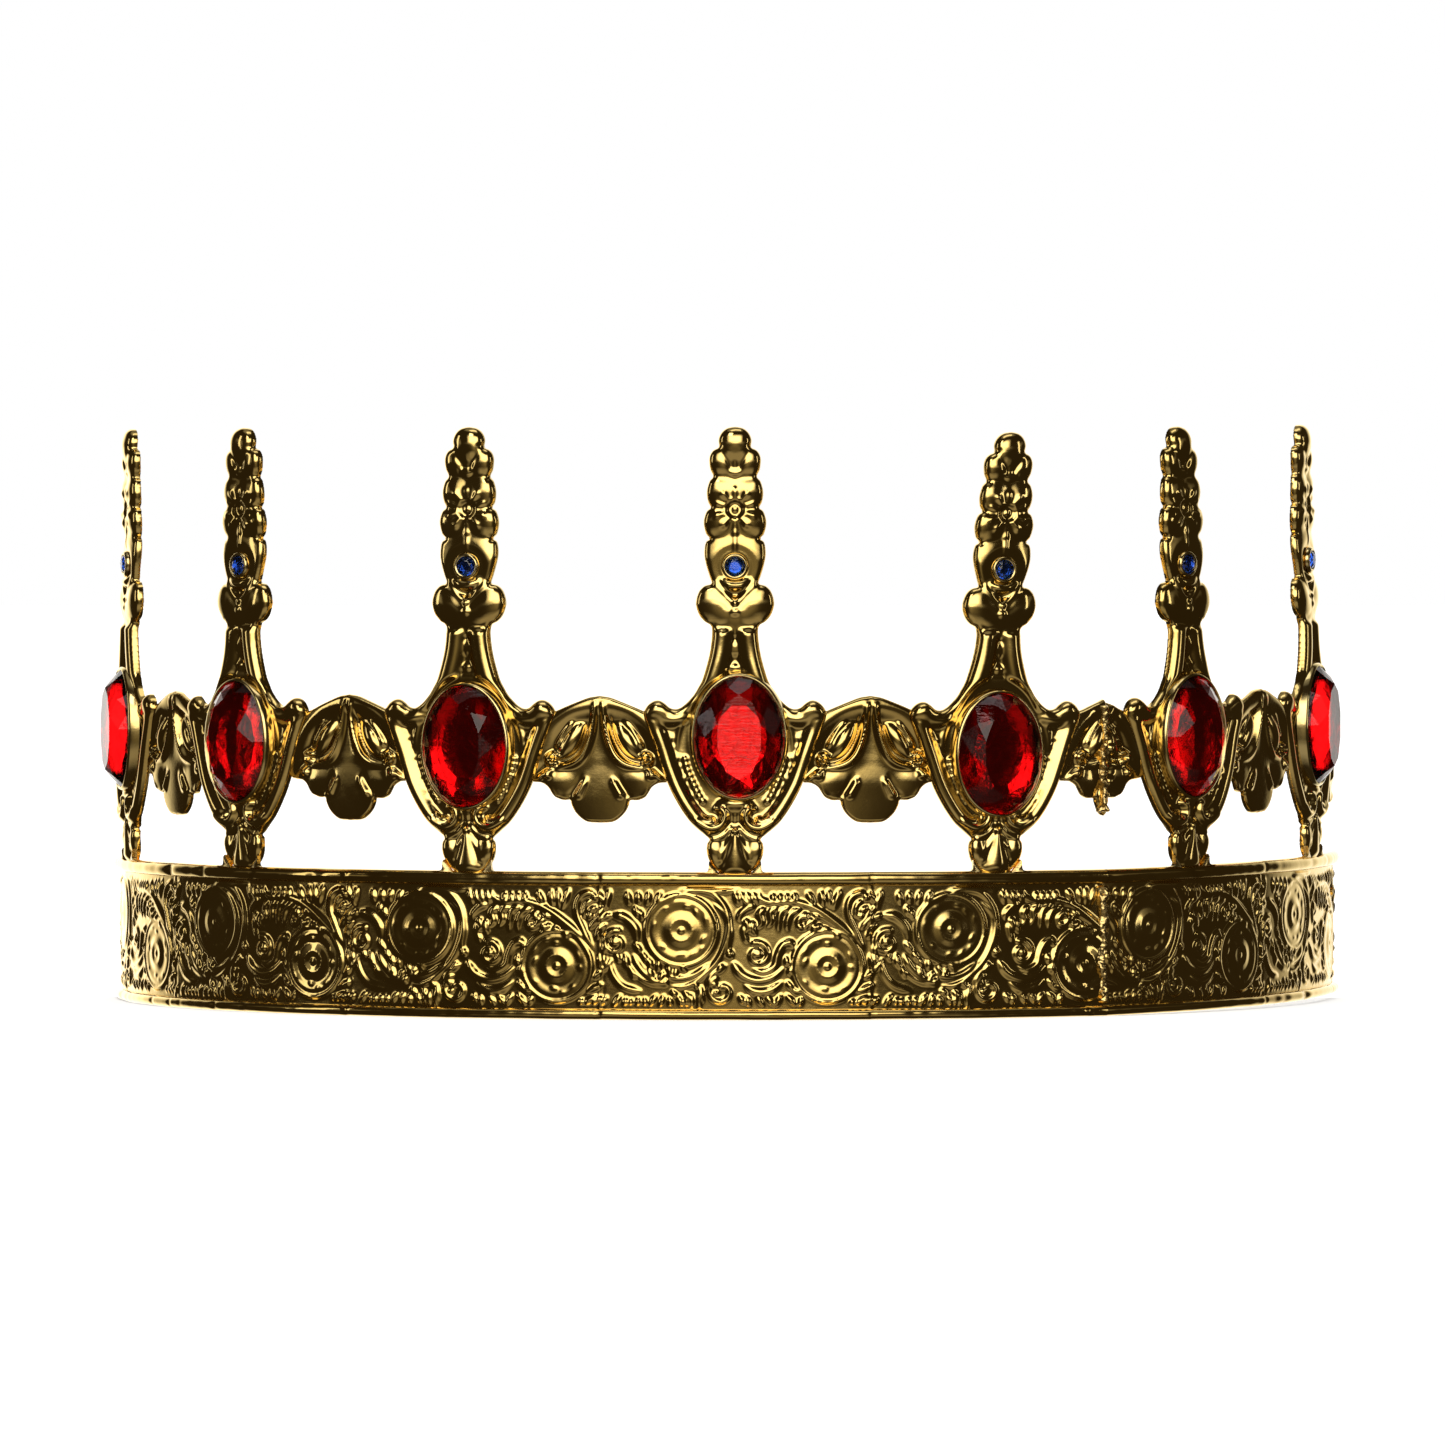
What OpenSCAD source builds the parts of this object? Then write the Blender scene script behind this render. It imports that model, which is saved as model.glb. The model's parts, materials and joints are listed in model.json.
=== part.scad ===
// Half-round crown: an embossed brass band with rolled rims, seven stamped
// points, leaf swags between them, and faceted stones glued into the points.
// +Z is up, the middle point faces -Y, the base of the band lies on Z = 0.

/* [Band] */
// Height of the band, base of the bottom rim to top of the top rim
band_h = 21.7; // [18:0.1:26]
// Sheet thickness of the band
band_t = 0.8; // [0.6:0.1:1.2]
// Height of the top rim
top_rim_h = 2.1; // [1.6:0.1:2.6]
// Height of the bottom rim
bottom_rim_h = 1.6; // [1.2:0.1:2.2]
// How far the rims stand out from the band
rim_out = 0.9; // [0.6:0.1:1.2]

/* [Plan curve] */
// Radius of the front of the crown
front_r = 111.6; // [106:0.1:116]
// Angle at which the front runs into the left side
front_a = 26.4; // [24:0.1:29]
// Angle at which the soldered seam sits
seam_a = 29.2; // [28.5:0.1:30]
// Radius of the left side
left_r = 79.2; // [75:0.1:84]
// Radius of the right side
right_r = 94; // [90:0.5:98]
// Angle that the right side starts at, past the soldered seam
right_a = 37; // [35:0.5:39]

/* [Points] */
// Spacing of the points along the band
pitch = 39.9; // [39.5:0.1:40.5]
// Length lost in the lap of the soldered seam
lap = 6.5; // [6:0.1:7]
// Thickness of the point and leaf stampings
plate_t = 0.8; // [0.6:0.1:1.1]

/* [Stones] */
// Width of an oval red stone
red_w = 13.2; // [12:0.1:13.4]
// Height of an oval red stone
red_h = 17.9; // [16:0.1:18.2]
// How far a red stone stands out of its point
red_d = 3.4; // [3.2:0.1:4.5]
// Diameter of a round blue stone
blue_d = 3.2; // [2.6:0.1:3.4]

/* [Ends] */
// Diameter of the tie hole near each end of the band
tie_hole_d = 2.4; // [1.6:0.1:2.8]
// Height of the tie holes above the base
tie_hole_z = 16; // [15.5:0.1:16.5]

/* [Hidden] */
$fn = 96;
origin_shift = [-1.878, 39.21];
front_s = front_r * front_a * PI / 180;
seam_s = front_r * seam_a * PI / 180;
left_end = 3.5 * pitch;
right_end = 3.5 * pitch - lap;
sweep_l = (left_end - front_s) / left_r * 180 / PI;
sweep_r = (right_end - seam_s) / right_r * 180 / PI;
seam_gap = 0.1;
join = 0.3;
$inset = 0;
stations = [for (k = [-3:3]) k < 2 ? k * pitch : k * pitch - lap];
lean = [0, 0, 0, 0, 1.9, -1.2, 0];
cup_t = 0.3;
red_z = 41.5;
red_drop = [0, 1.2, 1.5, 0, 2.4, 0.6, 0];
blue_z = 66.5;
e = 0.01;

// ---------- plan curve ----------
cen_f = [0, front_r];
cen_l = [-(front_r - left_r) * sin(front_a), front_r - (front_r - left_r) * cos(front_a)];
cen_r = [front_r * sin(seam_a) - right_r * sin(right_a),
         front_r * (1 - cos(seam_a)) + right_r * cos(right_a)];
// heading of the curve at arc length s from the middle of the front
function head(s) = s < -front_s ? -front_a - (-s - front_s) / left_r * 180 / PI
    : s <= seam_s ? s / front_r * 180 / PI
                  : right_a + (s - seam_s) / right_r * 180 / PI;
function cen(s) = s < -front_s ? cen_l : s <= seam_s ? cen_f : cen_r;
function rad(s) = s < -front_s ? left_r : s <= seam_s ? front_r : right_r;
function at(s, n = 0) = cen(s) + (rad(s) + n) * [sin(head(s)), -cos(head(s))];

// child stands on the wall at arc length s: its +X runs along the wall, +Y is up, +Z points outward
module on_wall(s)
    translate([at(s)[0], at(s)[1], 0]) rotate([0, 0, head(s)]) rotate([90, 0, 0]) children();

module ring(c, r, a0, a1) // a profile of (outward, up) swept about c
    translate([c[0], c[1], 0]) rotate([0, 0, a0 - 90])
        rotate_extrude(angle = a1 - a0) translate([r, 0]) children();

module sweep_long() union() {
    ring(cen_f, front_r, -front_a, seam_a) children();
    // a hair thinner than the front arc, whose end it enters
    ring(cen_l, left_r, -front_a - sweep_l, -front_a + join) let($inset = 0.02) children();
}
module sweep_short()
    ring(cen_r, right_r, right_a + seam_gap, right_a + sweep_r) children();

module slab(n0, n1, z0, z1)
    translate([n0 + $inset, z0 + $inset]) square([n1 - n0 - 2 * $inset, z1 - z0 - 2 * $inset]);
module wall_long(n0, n1, z0, z1) sweep_long() slab(n0, n1, z0, z1);
module wall_short(n0, n1, z0, z1) sweep_short() slab(n0, n1, z0, z1);

// ---------- outlines, half of each, as [along the wall, up] ----------
foot_to_shoulder = [[0, 20.95], [1.4, 21.2], [2.5, 21.9], [3.4, 22.7], [3.95, 23.7], [4.2, 25], [4, 26], [3.7, 26.5],
    [4.8, 27.4], [6.3, 28.7], [7.6, 30.4], [8.75, 32.3], [9.6, 34], [10.1, 35.2], [10.6, 36.6], [11.3, 38.9], [12.1, 41.2],
    [12.8, 43], [13.4, 44.4], [13.3, 45.3], [12.6, 46.2], [11.8, 46.8], [11, 46.85], [10.2, 46.4], [9.5, 45.8], [8.75, 45.6],
    [8, 45.8], [7.2, 46.4], [6.1, 47.6], [5.5, 48.6], [4.9, 49.7], [4.5, 50.9], [4.1, 52.3], [3.75, 53.8], [3.5, 55.5], [3.4, 57.8]];
spike = [[4.4, 58.4], [5.1, 59.2], [5.55, 60.1], [5.7, 61], [5.55, 62], [5.1, 63], [4.4, 63.6], [3.45, 63.9],
    [3.8, 65], [4.25, 66.5], [4.5, 68], [4.45, 69.3], [4.2, 70.1], [3.7, 70.5],
    [4.2, 71.1], [4.5, 72], [4.6, 72.9], [4.45, 73.8], [4.1, 74.6], [3.55, 75.05],
    [3.9, 75.7], [4.1, 76.5], [4.15, 77.3], [4, 78.2], [3.7, 79], [3.25, 79.6],
    [3.6, 80.5], [3.75, 81.3], [3.8, 82.1], [3.6, 82.9], [3.1, 83.5], [2.5, 83.9],
    [2.55, 84.6], [2.35, 85.5], [1.8, 86.3], [1, 86.8], [0, 86.95]];
half_point = concat(foot_to_shoulder, spike);
half_leaf = [[0, 47.4], [0.8, 47.35], [2.2, 47.1], [3.5, 46.6], [5.1, 45.9], [6.5, 45.4], [8.2, 44.2], [9.2, 42.2],
    [10, 39.6], [10.9, 37], [11.2, 35.4], [10.2, 34.9], [8.9, 34.7], [7.8, 34.2], [7.3, 33.3], [6.5, 32.55], [5.4, 32.2], [4.5, 32.3],
    [4.35, 31.6], [3.75, 30.5], [2.9, 29.6], [1.8, 29], [0, 28.85]];
rib = [[3.2, 27.2], [5.2, 28.9], [6.9, 31], [8.2, 33.6], [9.3, 36.6], [10.2, 39.6], [11, 42.2], [12, 44.2]];

function mirrored(h) = concat(h, [for (i = [len(h) - 1:-1:0]) if (h[i][0] > 0) [-h[i][0], h[i][1]]]);
function leant(h, d) = [for (p = h) [p[0] + (p[1] > 45 ? d * (p[1] - 45) / 42 : 0), p[1]]];
function unit(v) = v / norm(v);
function ribbon(c, w) = let(n = len(c), d = [for (i = [0:n - 1]) unit(c[min(i + 1, n - 1)] - c[max(i - 1, 0)])])
    concat([for (i = [0:n - 1]) c[i] + w / 2 * [-d[i][1], d[i][0]]],
           [for (i = [n - 1:-1:0]) c[i] - w / 2 * [-d[i][1], d[i][0]]]);
function oval(a, b, n = 60, t0 = 0) = [for (i = [0:n - 1]) let(t = t0 + i * 360 / n) [a * sin(t), b * cos(t)]];

// ---------- band ----------
rosettes = [[-8.35, 13.2], [13.6, 7.8]];
curls = [[3.3, 9.7], [-17.65, 11.6]];

module embossing(s0, s1) {
    for (k = [0:6]) for (q = rosettes) let(s = stations[k] + q[0])
        if (s > s0 + 6 && s < s1 - 6) on_wall(s) translate([0, q[1], 0]) {
            cylinder(r = 5.3, h = 0.75);
            cylinder(r = 2.1, h = 1.15);
        }
    for (k = [0:6]) for (q = curls) let(s = stations[k] + q[0])
        if (s > s0 + 5 && s < s1 - 5) on_wall(s) translate([0, q[1], 0]) cylinder(r = 2.3, h = 0.7);
}
module tie_hole(s) on_wall(s) translate([0, tie_hole_z, -5]) cylinder(d = tie_hole_d, h = 10);

module band_long_strip() color("#b08d2e") difference() {
    union() {
        wall_long(-band_t / 2, band_t / 2, bottom_rim_h, band_h - top_rim_h);
        intersection() {
            embossing(-left_end, seam_s);
            wall_long(-band_t / 2 + e, band_t, bottom_rim_h, band_h - top_rim_h);
        }
    }
    tie_hole(-left_end + 3);
}
module band_short_strip() color("#b08d2e") difference() {
    union() {
        wall_short(-band_t / 2, band_t / 2, bottom_rim_h, band_h - top_rim_h);
        intersection() {
            embossing(seam_s, right_end);
            wall_short(-band_t / 2 + e, band_t, bottom_rim_h, band_h - top_rim_h);
        }
    }
    tie_hole(right_end - 3);
}
// half-round rim with a flat back
module rim_profile(h) {
    slab(-band_t / 2 - 0.2, 0.5, 0, h);
    intersection() {
        translate([0.5, h / 2]) circle(r = h / 2 - $inset);
        slab(0, band_t / 2 + rim_out, 0, h);
    }
}
module top_rim_long() color("#c29a35") sweep_long() translate([0, band_h - top_rim_h]) rim_profile(top_rim_h);
module top_rim_short() color("#c29a35") sweep_short() translate([0, band_h - top_rim_h]) rim_profile(top_rim_h);
module bottom_rim_long() color("#c29a35") sweep_long() rim_profile(bottom_rim_h);
module bottom_rim_short() color("#c29a35") sweep_short() rim_profile(bottom_rim_h);

// ---------- points ----------
module wall_at(s, n0, n1, z0, z1) // the wall's own arc at s, long enough for one point
    ring(cen(s), rad(s), head(s) - 11.5, head(s) + 12.5) translate([n0, z0]) square([n1 - n0, z1 - z0]);
module prism(outline, n0, n1) translate([0, 0, n0]) linear_extrude(n1 - n0) polygon(outline);
// a dome of radius r whose top stands h above the wall's face at u
module dome(s, u, z, r, h) translate([u, z, h - r - u * u / 2 / rad(s)]) sphere(r = r, $fn = 48);

module point(i) color("#c9a23c") let(s = stations[i], d = lean[i]) difference() {
    union() {
        // curved plate, standing on the top rim
        intersection() {
            wall_at(s, 0, plate_t, band_h, 90);
            on_wall(s) prism(leant(mirrored(half_point), d), -6, 6);
        }
        // rolled rails along both edges, running down to the foot
        intersection() {
            wall_at(s, 0.3, 1.5, band_h + 3, 60);
            on_wall(s) union() {
                prism(ribbon(rib, 1.7), -6, 6);
                prism(ribbon([for (p = rib) [-p[0], p[1]]], 1.7), -6, 6);
            }
        }
        on_wall(s) {
            for (m = [-1, 1]) {
                dome(s, m * 11.2, 44.9, 1.9, 1.9);
                dome(s, m * 2.2 + d * 0.35, 53.5, 1.8, 1.3);
                dome(s, m * 2.9 + d * 0.39, 61, 2.7, 2);
                dome(s, m * 2.2 + d * 0.66, 72.9, 2.3, 1.8);
                dome(s, m * 2 + d * 0.77, 77.3, 2.1, 1.7);
                dome(s, m * 1.8 + d * 0.88, 81.9, 2, 1.6);
                dome(s, m * 2.9, 29.3 - red_drop[i] * 0.8, 1.9, 1.7);
            }
            dome(s, d * 0.53, 69, 2.9, 1.6);
            dome(s, d * 0.95, 84.2, 2.5, 1.9);
            dome(s, 0, 24.3, 2.2, 1.8);
        }
    }
    // the backs of the domes are cut off flush with the back of the plate
    wall_at(s, -8, 0, 15, 95);
}

// a shallow oval cup soldered to the point, with a rim that holds the stone
module stone_cup(i) color("#d2ac45") let(s = stations[i]) difference() {
    on_wall(s) translate([0, red_z - red_drop[i], 0]) prism(oval(red_w / 2 + 0.6, red_h / 2 + 0.6), -3, plate_t + cup_t + 1.1);
    on_wall(s) translate([0, red_z - red_drop[i], 0]) prism(oval(red_w / 2 + 0.05, red_h / 2 + 0.05), plate_t + cup_t, 8);
    wall_at(s, -8, plate_t, 15, 95);
}
// a round collar soldered to the point, with a floor that the blue stone rests on
module collet(i) color("#d2ac45") let(s = stations[i]) on_wall(s) translate([lean[i] * 0.52, blue_z, plate_t])
    difference() {
        cylinder(d = blue_d + 0.8, h = 1.3);
        translate([0, 0, cup_t]) cylinder(d = blue_d + 0.06, h = 5);
    }

// ---------- leaf swags ----------
module leaf(s, outline) color("#a8882f") difference() {
    union() {
        intersection() {
            wall_at(s, -plate_t, -e, band_h + 2, 60);
            on_wall(s) prism(outline, -6, 6);
        }
        on_wall(s) children();
    }
    wall_at(s, -8, -plate_t, 15, 70);
}
module swells(s, c, m) {
    for (q = m) {
        dome(s, c + q * 3.9, 40, 2, 0.6);
        dome(s, c + q * 5.9, 34.6, 1.7, 0.4);
    }
}
function right_half(h, c) = [for (p = concat(h, [[0, h[0][1]]])) [p[0] + c, p[1]]];
function left_half(h, c) = [for (p = concat(h, [[0, h[0][1]]])) [c - p[0], p[1]]];
module block(u0, u1) translate([u0, 20, -20]) cube([u1 - u0, 40, 40]);

module whole_leaf(s) leaf(s, mirrored(half_leaf)) {
    swells(s, 0, [-1, 1]);
    dome(s, 0, 32, 2.6, 0.7);
}
// the two halves at the seam belong to dies that lap over each other there
module leaf_5_seam() let(s = seam_s - e, c = 1.5 * pitch - seam_s) difference() {
    leaf(s, left_half(half_leaf, c)) swells(s, c, [-1]);
    on_wall(s) block(-0.1, 30);
}
module leaf_6_seam() let(s = seam_s + e, c = 1.5 * pitch - lap - seam_s) difference() {
    leaf(s, right_half(half_leaf, c)) swells(s, c, [1]);
    on_wall(s) block(-30, 0.1);
}
module half_leaf_left_end() let(s = -left_end + 3) leaf(s, right_half(half_leaf, -3)) swells(s, -3, [1]);
module half_leaf_right_end() let(s = right_end - 3) leaf(s, left_half(half_leaf, 3)) swells(s, 3, [-1]);

// ---------- stones ----------
module red_stone(i) color("#c8101e") on_wall(stations[i]) translate([0, red_z - red_drop[i], plate_t + cup_t])
    hull() {
        linear_extrude(e) polygon(oval(red_w / 2 - 1, red_h / 2 - 1, 20));
        translate([0, 0, 0.7]) linear_extrude(0.3) polygon(oval(red_w / 2, red_h / 2, 40));
        translate([0, 0, red_d - 0.9]) linear_extrude(e) polygon(oval(red_w / 2 - 1.8, red_h / 2 - 2.1, 20));
        translate([0, 0, red_d - e]) linear_extrude(e) polygon(oval(3.3, 5.4, 10));
    }
module blue_stone(i) color("#1a3fa0") on_wall(stations[i]) translate([lean[i] * 0.52, blue_z, plate_t + cup_t])
    hull() {
        cylinder(d = blue_d - 0.6, h = e);
        translate([0, 0, 0.55]) cylinder(d = blue_d, h = 0.2, $fn = 16);
        translate([0, 0, 1.35]) cylinder(d = blue_d * 0.55, h = e, $fn = 8);
    }

// ---------- solder ----------
module band_seam_solder() color("#a07c22") on_wall(seam_s) intersection() {
    union() {
        translate([0.1, 0, 0.3]) rotate([-90, 0, 0]) cylinder(r = 0.75, h = 30, $fn = 32);
        for (i = [0:8]) translate([0.4 * sin(i * 97), 3 + i * 1.9, 0.2]) sphere(r = 1.1 + 0.2 * sin(i * 61), $fn = 32);
    }
    translate([-4, bottom_rim_h + 0.02, band_t / 2 + 0.1]) cube([8, band_h - top_rim_h - bottom_rim_h - 0.04, 5]);
}
module leaf_seam_solder() color("#a07c22") on_wall(seam_s) intersection() {
    union() {
        translate([-0.1, 20, 0]) rotate([-90, 0, 0]) cylinder(r = 0.8, h = 40, $fn = 32);
        for (i = [0:8]) translate([0.5 * sin(i * 113), 31 + i * 1.9, 0]) sphere(r = 1.2 + 0.25 * sin(i * 71), $fn = 32);
    }
    translate([-4, 29.8, 0.08]) cube([8, 16, 5]);
}
module foot_solder_joints() color("#a07c22")
    for (i = [0:6]) on_wall(stations[i]) for (m = [-1, 1])
        prism([[m * 2.3, band_h], [m * 5.4, band_h], [m * 4.5, band_h + 0.6], [m * 4.1, band_h + 1.6], [m * 3.4, band_h + 1]], 0, plate_t);

place() band_long_strip();
place() band_short_strip();
place() top_rim_long();
place() top_rim_short();
place() bottom_rim_long();
place() bottom_rim_short();
place() band_seam_solder();
place() leaf_seam_solder();
place() foot_solder_joints();
place() point(0);  // point_1
place() point(1);  // point_2
place() point(2);  // point_3
place() point(3);  // point_4
place() point(4);  // point_5
place() point(5);  // point_6
place() point(6);  // point_7
place() whole_leaf(-2.5 * pitch);  // leaf_1_2
place() whole_leaf(-1.5 * pitch);  // leaf_2_3
place() whole_leaf(-0.5 * pitch);  // leaf_3_4
place() whole_leaf(0.5 * pitch);  // leaf_4_5
place() leaf_5_seam();
place() leaf_6_seam();
place() whole_leaf(2.5 * pitch - lap);  // leaf_6_7
place() half_leaf_left_end();
place() half_leaf_right_end();
place() stone_cup(0);  // stone_cup_1
place() stone_cup(1);  // stone_cup_2
place() stone_cup(2);  // stone_cup_3
place() stone_cup(3);  // stone_cup_4
place() stone_cup(4);  // stone_cup_5
place() stone_cup(5);  // stone_cup_6
place() stone_cup(6);  // stone_cup_7
place() collet(0);  // collet_1
place() collet(1);  // collet_2
place() collet(2);  // collet_3
place() collet(3);  // collet_4
place() collet(4);  // collet_5
place() collet(5);  // collet_6
place() collet(6);  // collet_7
place() red_stone(0);  // red_stone_1
place() red_stone(1);  // red_stone_2
place() red_stone(2);  // red_stone_3
place() red_stone(3);  // red_stone_4
place() red_stone(4);  // red_stone_5
place() red_stone(5);  // red_stone_6
place() red_stone(6);  // red_stone_7
place() blue_stone(0);  // blue_stone_1
place() blue_stone(1);  // blue_stone_2
place() blue_stone(2);  // blue_stone_3
place() blue_stone(3);  // blue_stone_4
place() blue_stone(4);  // blue_stone_5
place() blue_stone(5);  // blue_stone_6
place() blue_stone(6);  // blue_stone_7

module place() translate([-origin_shift[0], -origin_shift[1], 0]) children();
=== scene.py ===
"""Looks of the crown: pressed relief sheets, rims, faceted stones, cups and solder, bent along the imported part's plan curve."""
import json
import math

import bpy
import numpy as np
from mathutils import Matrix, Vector


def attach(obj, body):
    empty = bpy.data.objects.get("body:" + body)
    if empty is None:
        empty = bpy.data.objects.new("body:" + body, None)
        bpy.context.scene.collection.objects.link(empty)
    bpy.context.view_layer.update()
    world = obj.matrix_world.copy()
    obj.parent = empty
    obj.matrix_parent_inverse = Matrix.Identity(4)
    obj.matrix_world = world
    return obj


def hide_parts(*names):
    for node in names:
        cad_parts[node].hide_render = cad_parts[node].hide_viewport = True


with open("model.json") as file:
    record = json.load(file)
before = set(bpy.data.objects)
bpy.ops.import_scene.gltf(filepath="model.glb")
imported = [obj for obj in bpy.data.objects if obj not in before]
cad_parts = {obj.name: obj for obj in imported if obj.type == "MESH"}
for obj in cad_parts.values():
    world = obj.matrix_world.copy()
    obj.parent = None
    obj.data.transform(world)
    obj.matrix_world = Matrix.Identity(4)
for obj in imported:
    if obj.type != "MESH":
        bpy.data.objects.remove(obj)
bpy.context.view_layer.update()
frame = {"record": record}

CELL = 0.17
rng = np.random.default_rng(11)

# ---------------------------------------------------------------- plan curve, in mm
FR, FA, SA = 111.6, math.radians(26.4), math.radians(29.2)
LR, RR, RA = 79.2, 94.0, math.radians(37)
PITCH, LAP = 39.9, 6.5
FRONT_S, SEAM_S = FR * FA, FR * SA
LEFT_END, RIGHT_END = -3.5 * PITCH, 3.5 * PITCH - LAP
CL = (-(FR - LR) * math.sin(FA), FR - (FR - LR) * math.cos(FA))
CR = (FR * math.sin(SA) - RR * math.sin(RA), FR * (1 - math.cos(SA)) + RR * math.cos(RA))
STATIONS = [k * PITCH if k < 2 else k * PITCH - LAP for k in range(-3, 4)]
LEAN = [0, 0, 0, 0, 2.45, -0.7, 0]
TILT = [0, 0, 0, 0, 0, -1.6, -1.7]
# small offsets of the hand assembly: along the wall, the height of a point, how low each oval stone was glued
SHIFT = [0, -0.9, 0, 0, -0.87, 0.9, 0]
TALL = [1, 1, 1, 1, 0.9885, 1, 1]
DROP = [0, 1.2, 1.5, 0, 2.4, 0.6, 0]
SLIDE = [0, 0, 0, 0.6, 0, 0, 0]
base_rim = next(m for m in frame["record"]["mounts"] if m["name"] == "base_rim")["pos_m"]
OX, OY = base_rim[0], base_rim[1]
BAND_LO, BAND_HI, RIM_TOP = 1.6, 19.6, 21.7


def arc_at(s):
    if s < -FRONT_S:
        return CL[0], CL[1], LR, -FA - (-s - FRONT_S) / LR
    if s <= SEAM_S:
        return 0.0, FR, FR, s / FR
    return CR[0], CR[1], RR, RA + (s - SEAM_S) / RR


def lift(s):
    """The short strip was soldered on with a slight rise to the right."""
    return 0.0115 * np.clip(np.asarray(s, float) - SEAM_S, 0, None)


def on_curve(s, z, n):
    """Arrays of arc length, height and outward offset, in mm, to metres."""
    s = np.asarray(s, float)
    z = z + lift(s)
    left, right = s < -FRONT_S, s > SEAM_S
    h = np.where(left, -FA - (-s - FRONT_S) / LR, np.where(right, RA + (s - SEAM_S) / RR, s / FR))
    cx = np.where(left, CL[0], np.where(right, CR[0], 0.0))
    cy = np.where(left, CL[1], np.where(right, CR[1], FR))
    r = np.where(left, LR, np.where(right, RR, FR)) + n
    return np.stack([OX + (cx + r * np.sin(h)) * 1e-3, OY + (cy - r * np.cos(h)) * 1e-3, z * 1e-3 + 0 * r], -1)


def on_wall(s0, lean=0.0, tilt=0.0, shift=0.0, tall=1.0):
    """A place function for a piece that stands at arc length s0: u runs along the wall, n points outward."""
    cx, cy, r0, h0 = arc_at(s0)

    def place(u, z, n):
        k = np.clip((z - 45) / 42, 0, None) ** 1.4
        uu = u + lean * k + shift
        z = np.where(z > 22, 22 + (z - 22) * tall, z) + (lift(s0 + uu) if s0 > SEAM_S else 0)
        rr = r0 + n + tilt * np.clip((z - 22) / 65, 0, None) ** 1.3
        h = h0 + np.arcsin(np.clip(uu / r0, -0.9, 0.9))
        return np.stack([OX + (cx + rr * np.sin(h)) * 1e-3, OY + (cy - rr * np.cos(h)) * 1e-3, z * 1e-3 + 0 * rr], -1)

    return place


# ---------------------------------------------------------------- curve and height helpers
def spline(pts, closed=False, sub=6):
    """Catmull-Rom through given points."""
    p = np.array(pts, float)
    n = len(p)
    out = []
    for i in range(n if closed else n - 1):
        a = p[(i - 1) % n] if closed or i > 0 else 2 * p[0] - p[1]
        b, c = p[i], p[(i + 1) % n]
        d = p[(i + 2) % n] if closed or i + 2 < n else 2 * p[-1] - p[-2]
        for t in np.arange(sub) / sub:
            out.append(0.5 * (2 * b + (c - a) * t + (2 * a - 5 * b + 4 * c - d) * t**2 + (3 * b - a - 3 * c + d) * t**3))
    if not closed:
        out.append(p[-1])
    return np.array(out)


def near(U, Z, line, closed=False):
    """Distance to a polyline, the place along it from 0 to 1, and the nearest point."""
    line = np.asarray(line, float)
    if closed:
        line = np.vstack([line, line[:1]])
    seg = np.diff(line, axis=0)
    ln = np.hypot(seg[:, 0], seg[:, 1]) + 1e-9
    cum = np.concatenate([[0], np.cumsum(ln)])
    best = np.full(U.shape, 1e9)
    t_best = np.zeros(U.shape)
    qu, qz = np.zeros(U.shape), np.zeros(U.shape)
    for i in range(len(seg)):
        t = np.clip(((U - line[i, 0]) * seg[i, 0] + (Z - line[i, 1]) * seg[i, 1]) / ln[i] ** 2, 0, 1)
        pu, pz = line[i, 0] + t * seg[i, 0], line[i, 1] + t * seg[i, 1]
        d = (U - pu) ** 2 + (Z - pz) ** 2
        m = d < best
        best = np.where(m, d, best)
        t_best = np.where(m, (cum[i] + t * ln[i]) / cum[-1], t_best)
        qu, qz = np.where(m, pu, qu), np.where(m, pz, qz)
    return np.sqrt(best), t_best, qu, qz


def inside(U, Z, line):
    res = np.zeros(U.shape, bool)
    n = len(line)
    for i in range(n):
        x0, y0 = line[i]
        x1, y1 = line[(i + 1) % n]
        if y0 == y1:
            continue
        cond = (y0 > Z) != (y1 > Z)
        res ^= cond & (U < (x1 - x0) * (Z - y0) / (y1 - y0) + x0)
    return res


def smooth(e0, e1, x):
    t = np.clip((x - e0) / (e1 - e0), 0, 1)
    return t * t * (3 - 2 * t)


def bump(rho2, p=1.0):
    return np.clip(1 - rho2, 0, None) ** p


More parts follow.
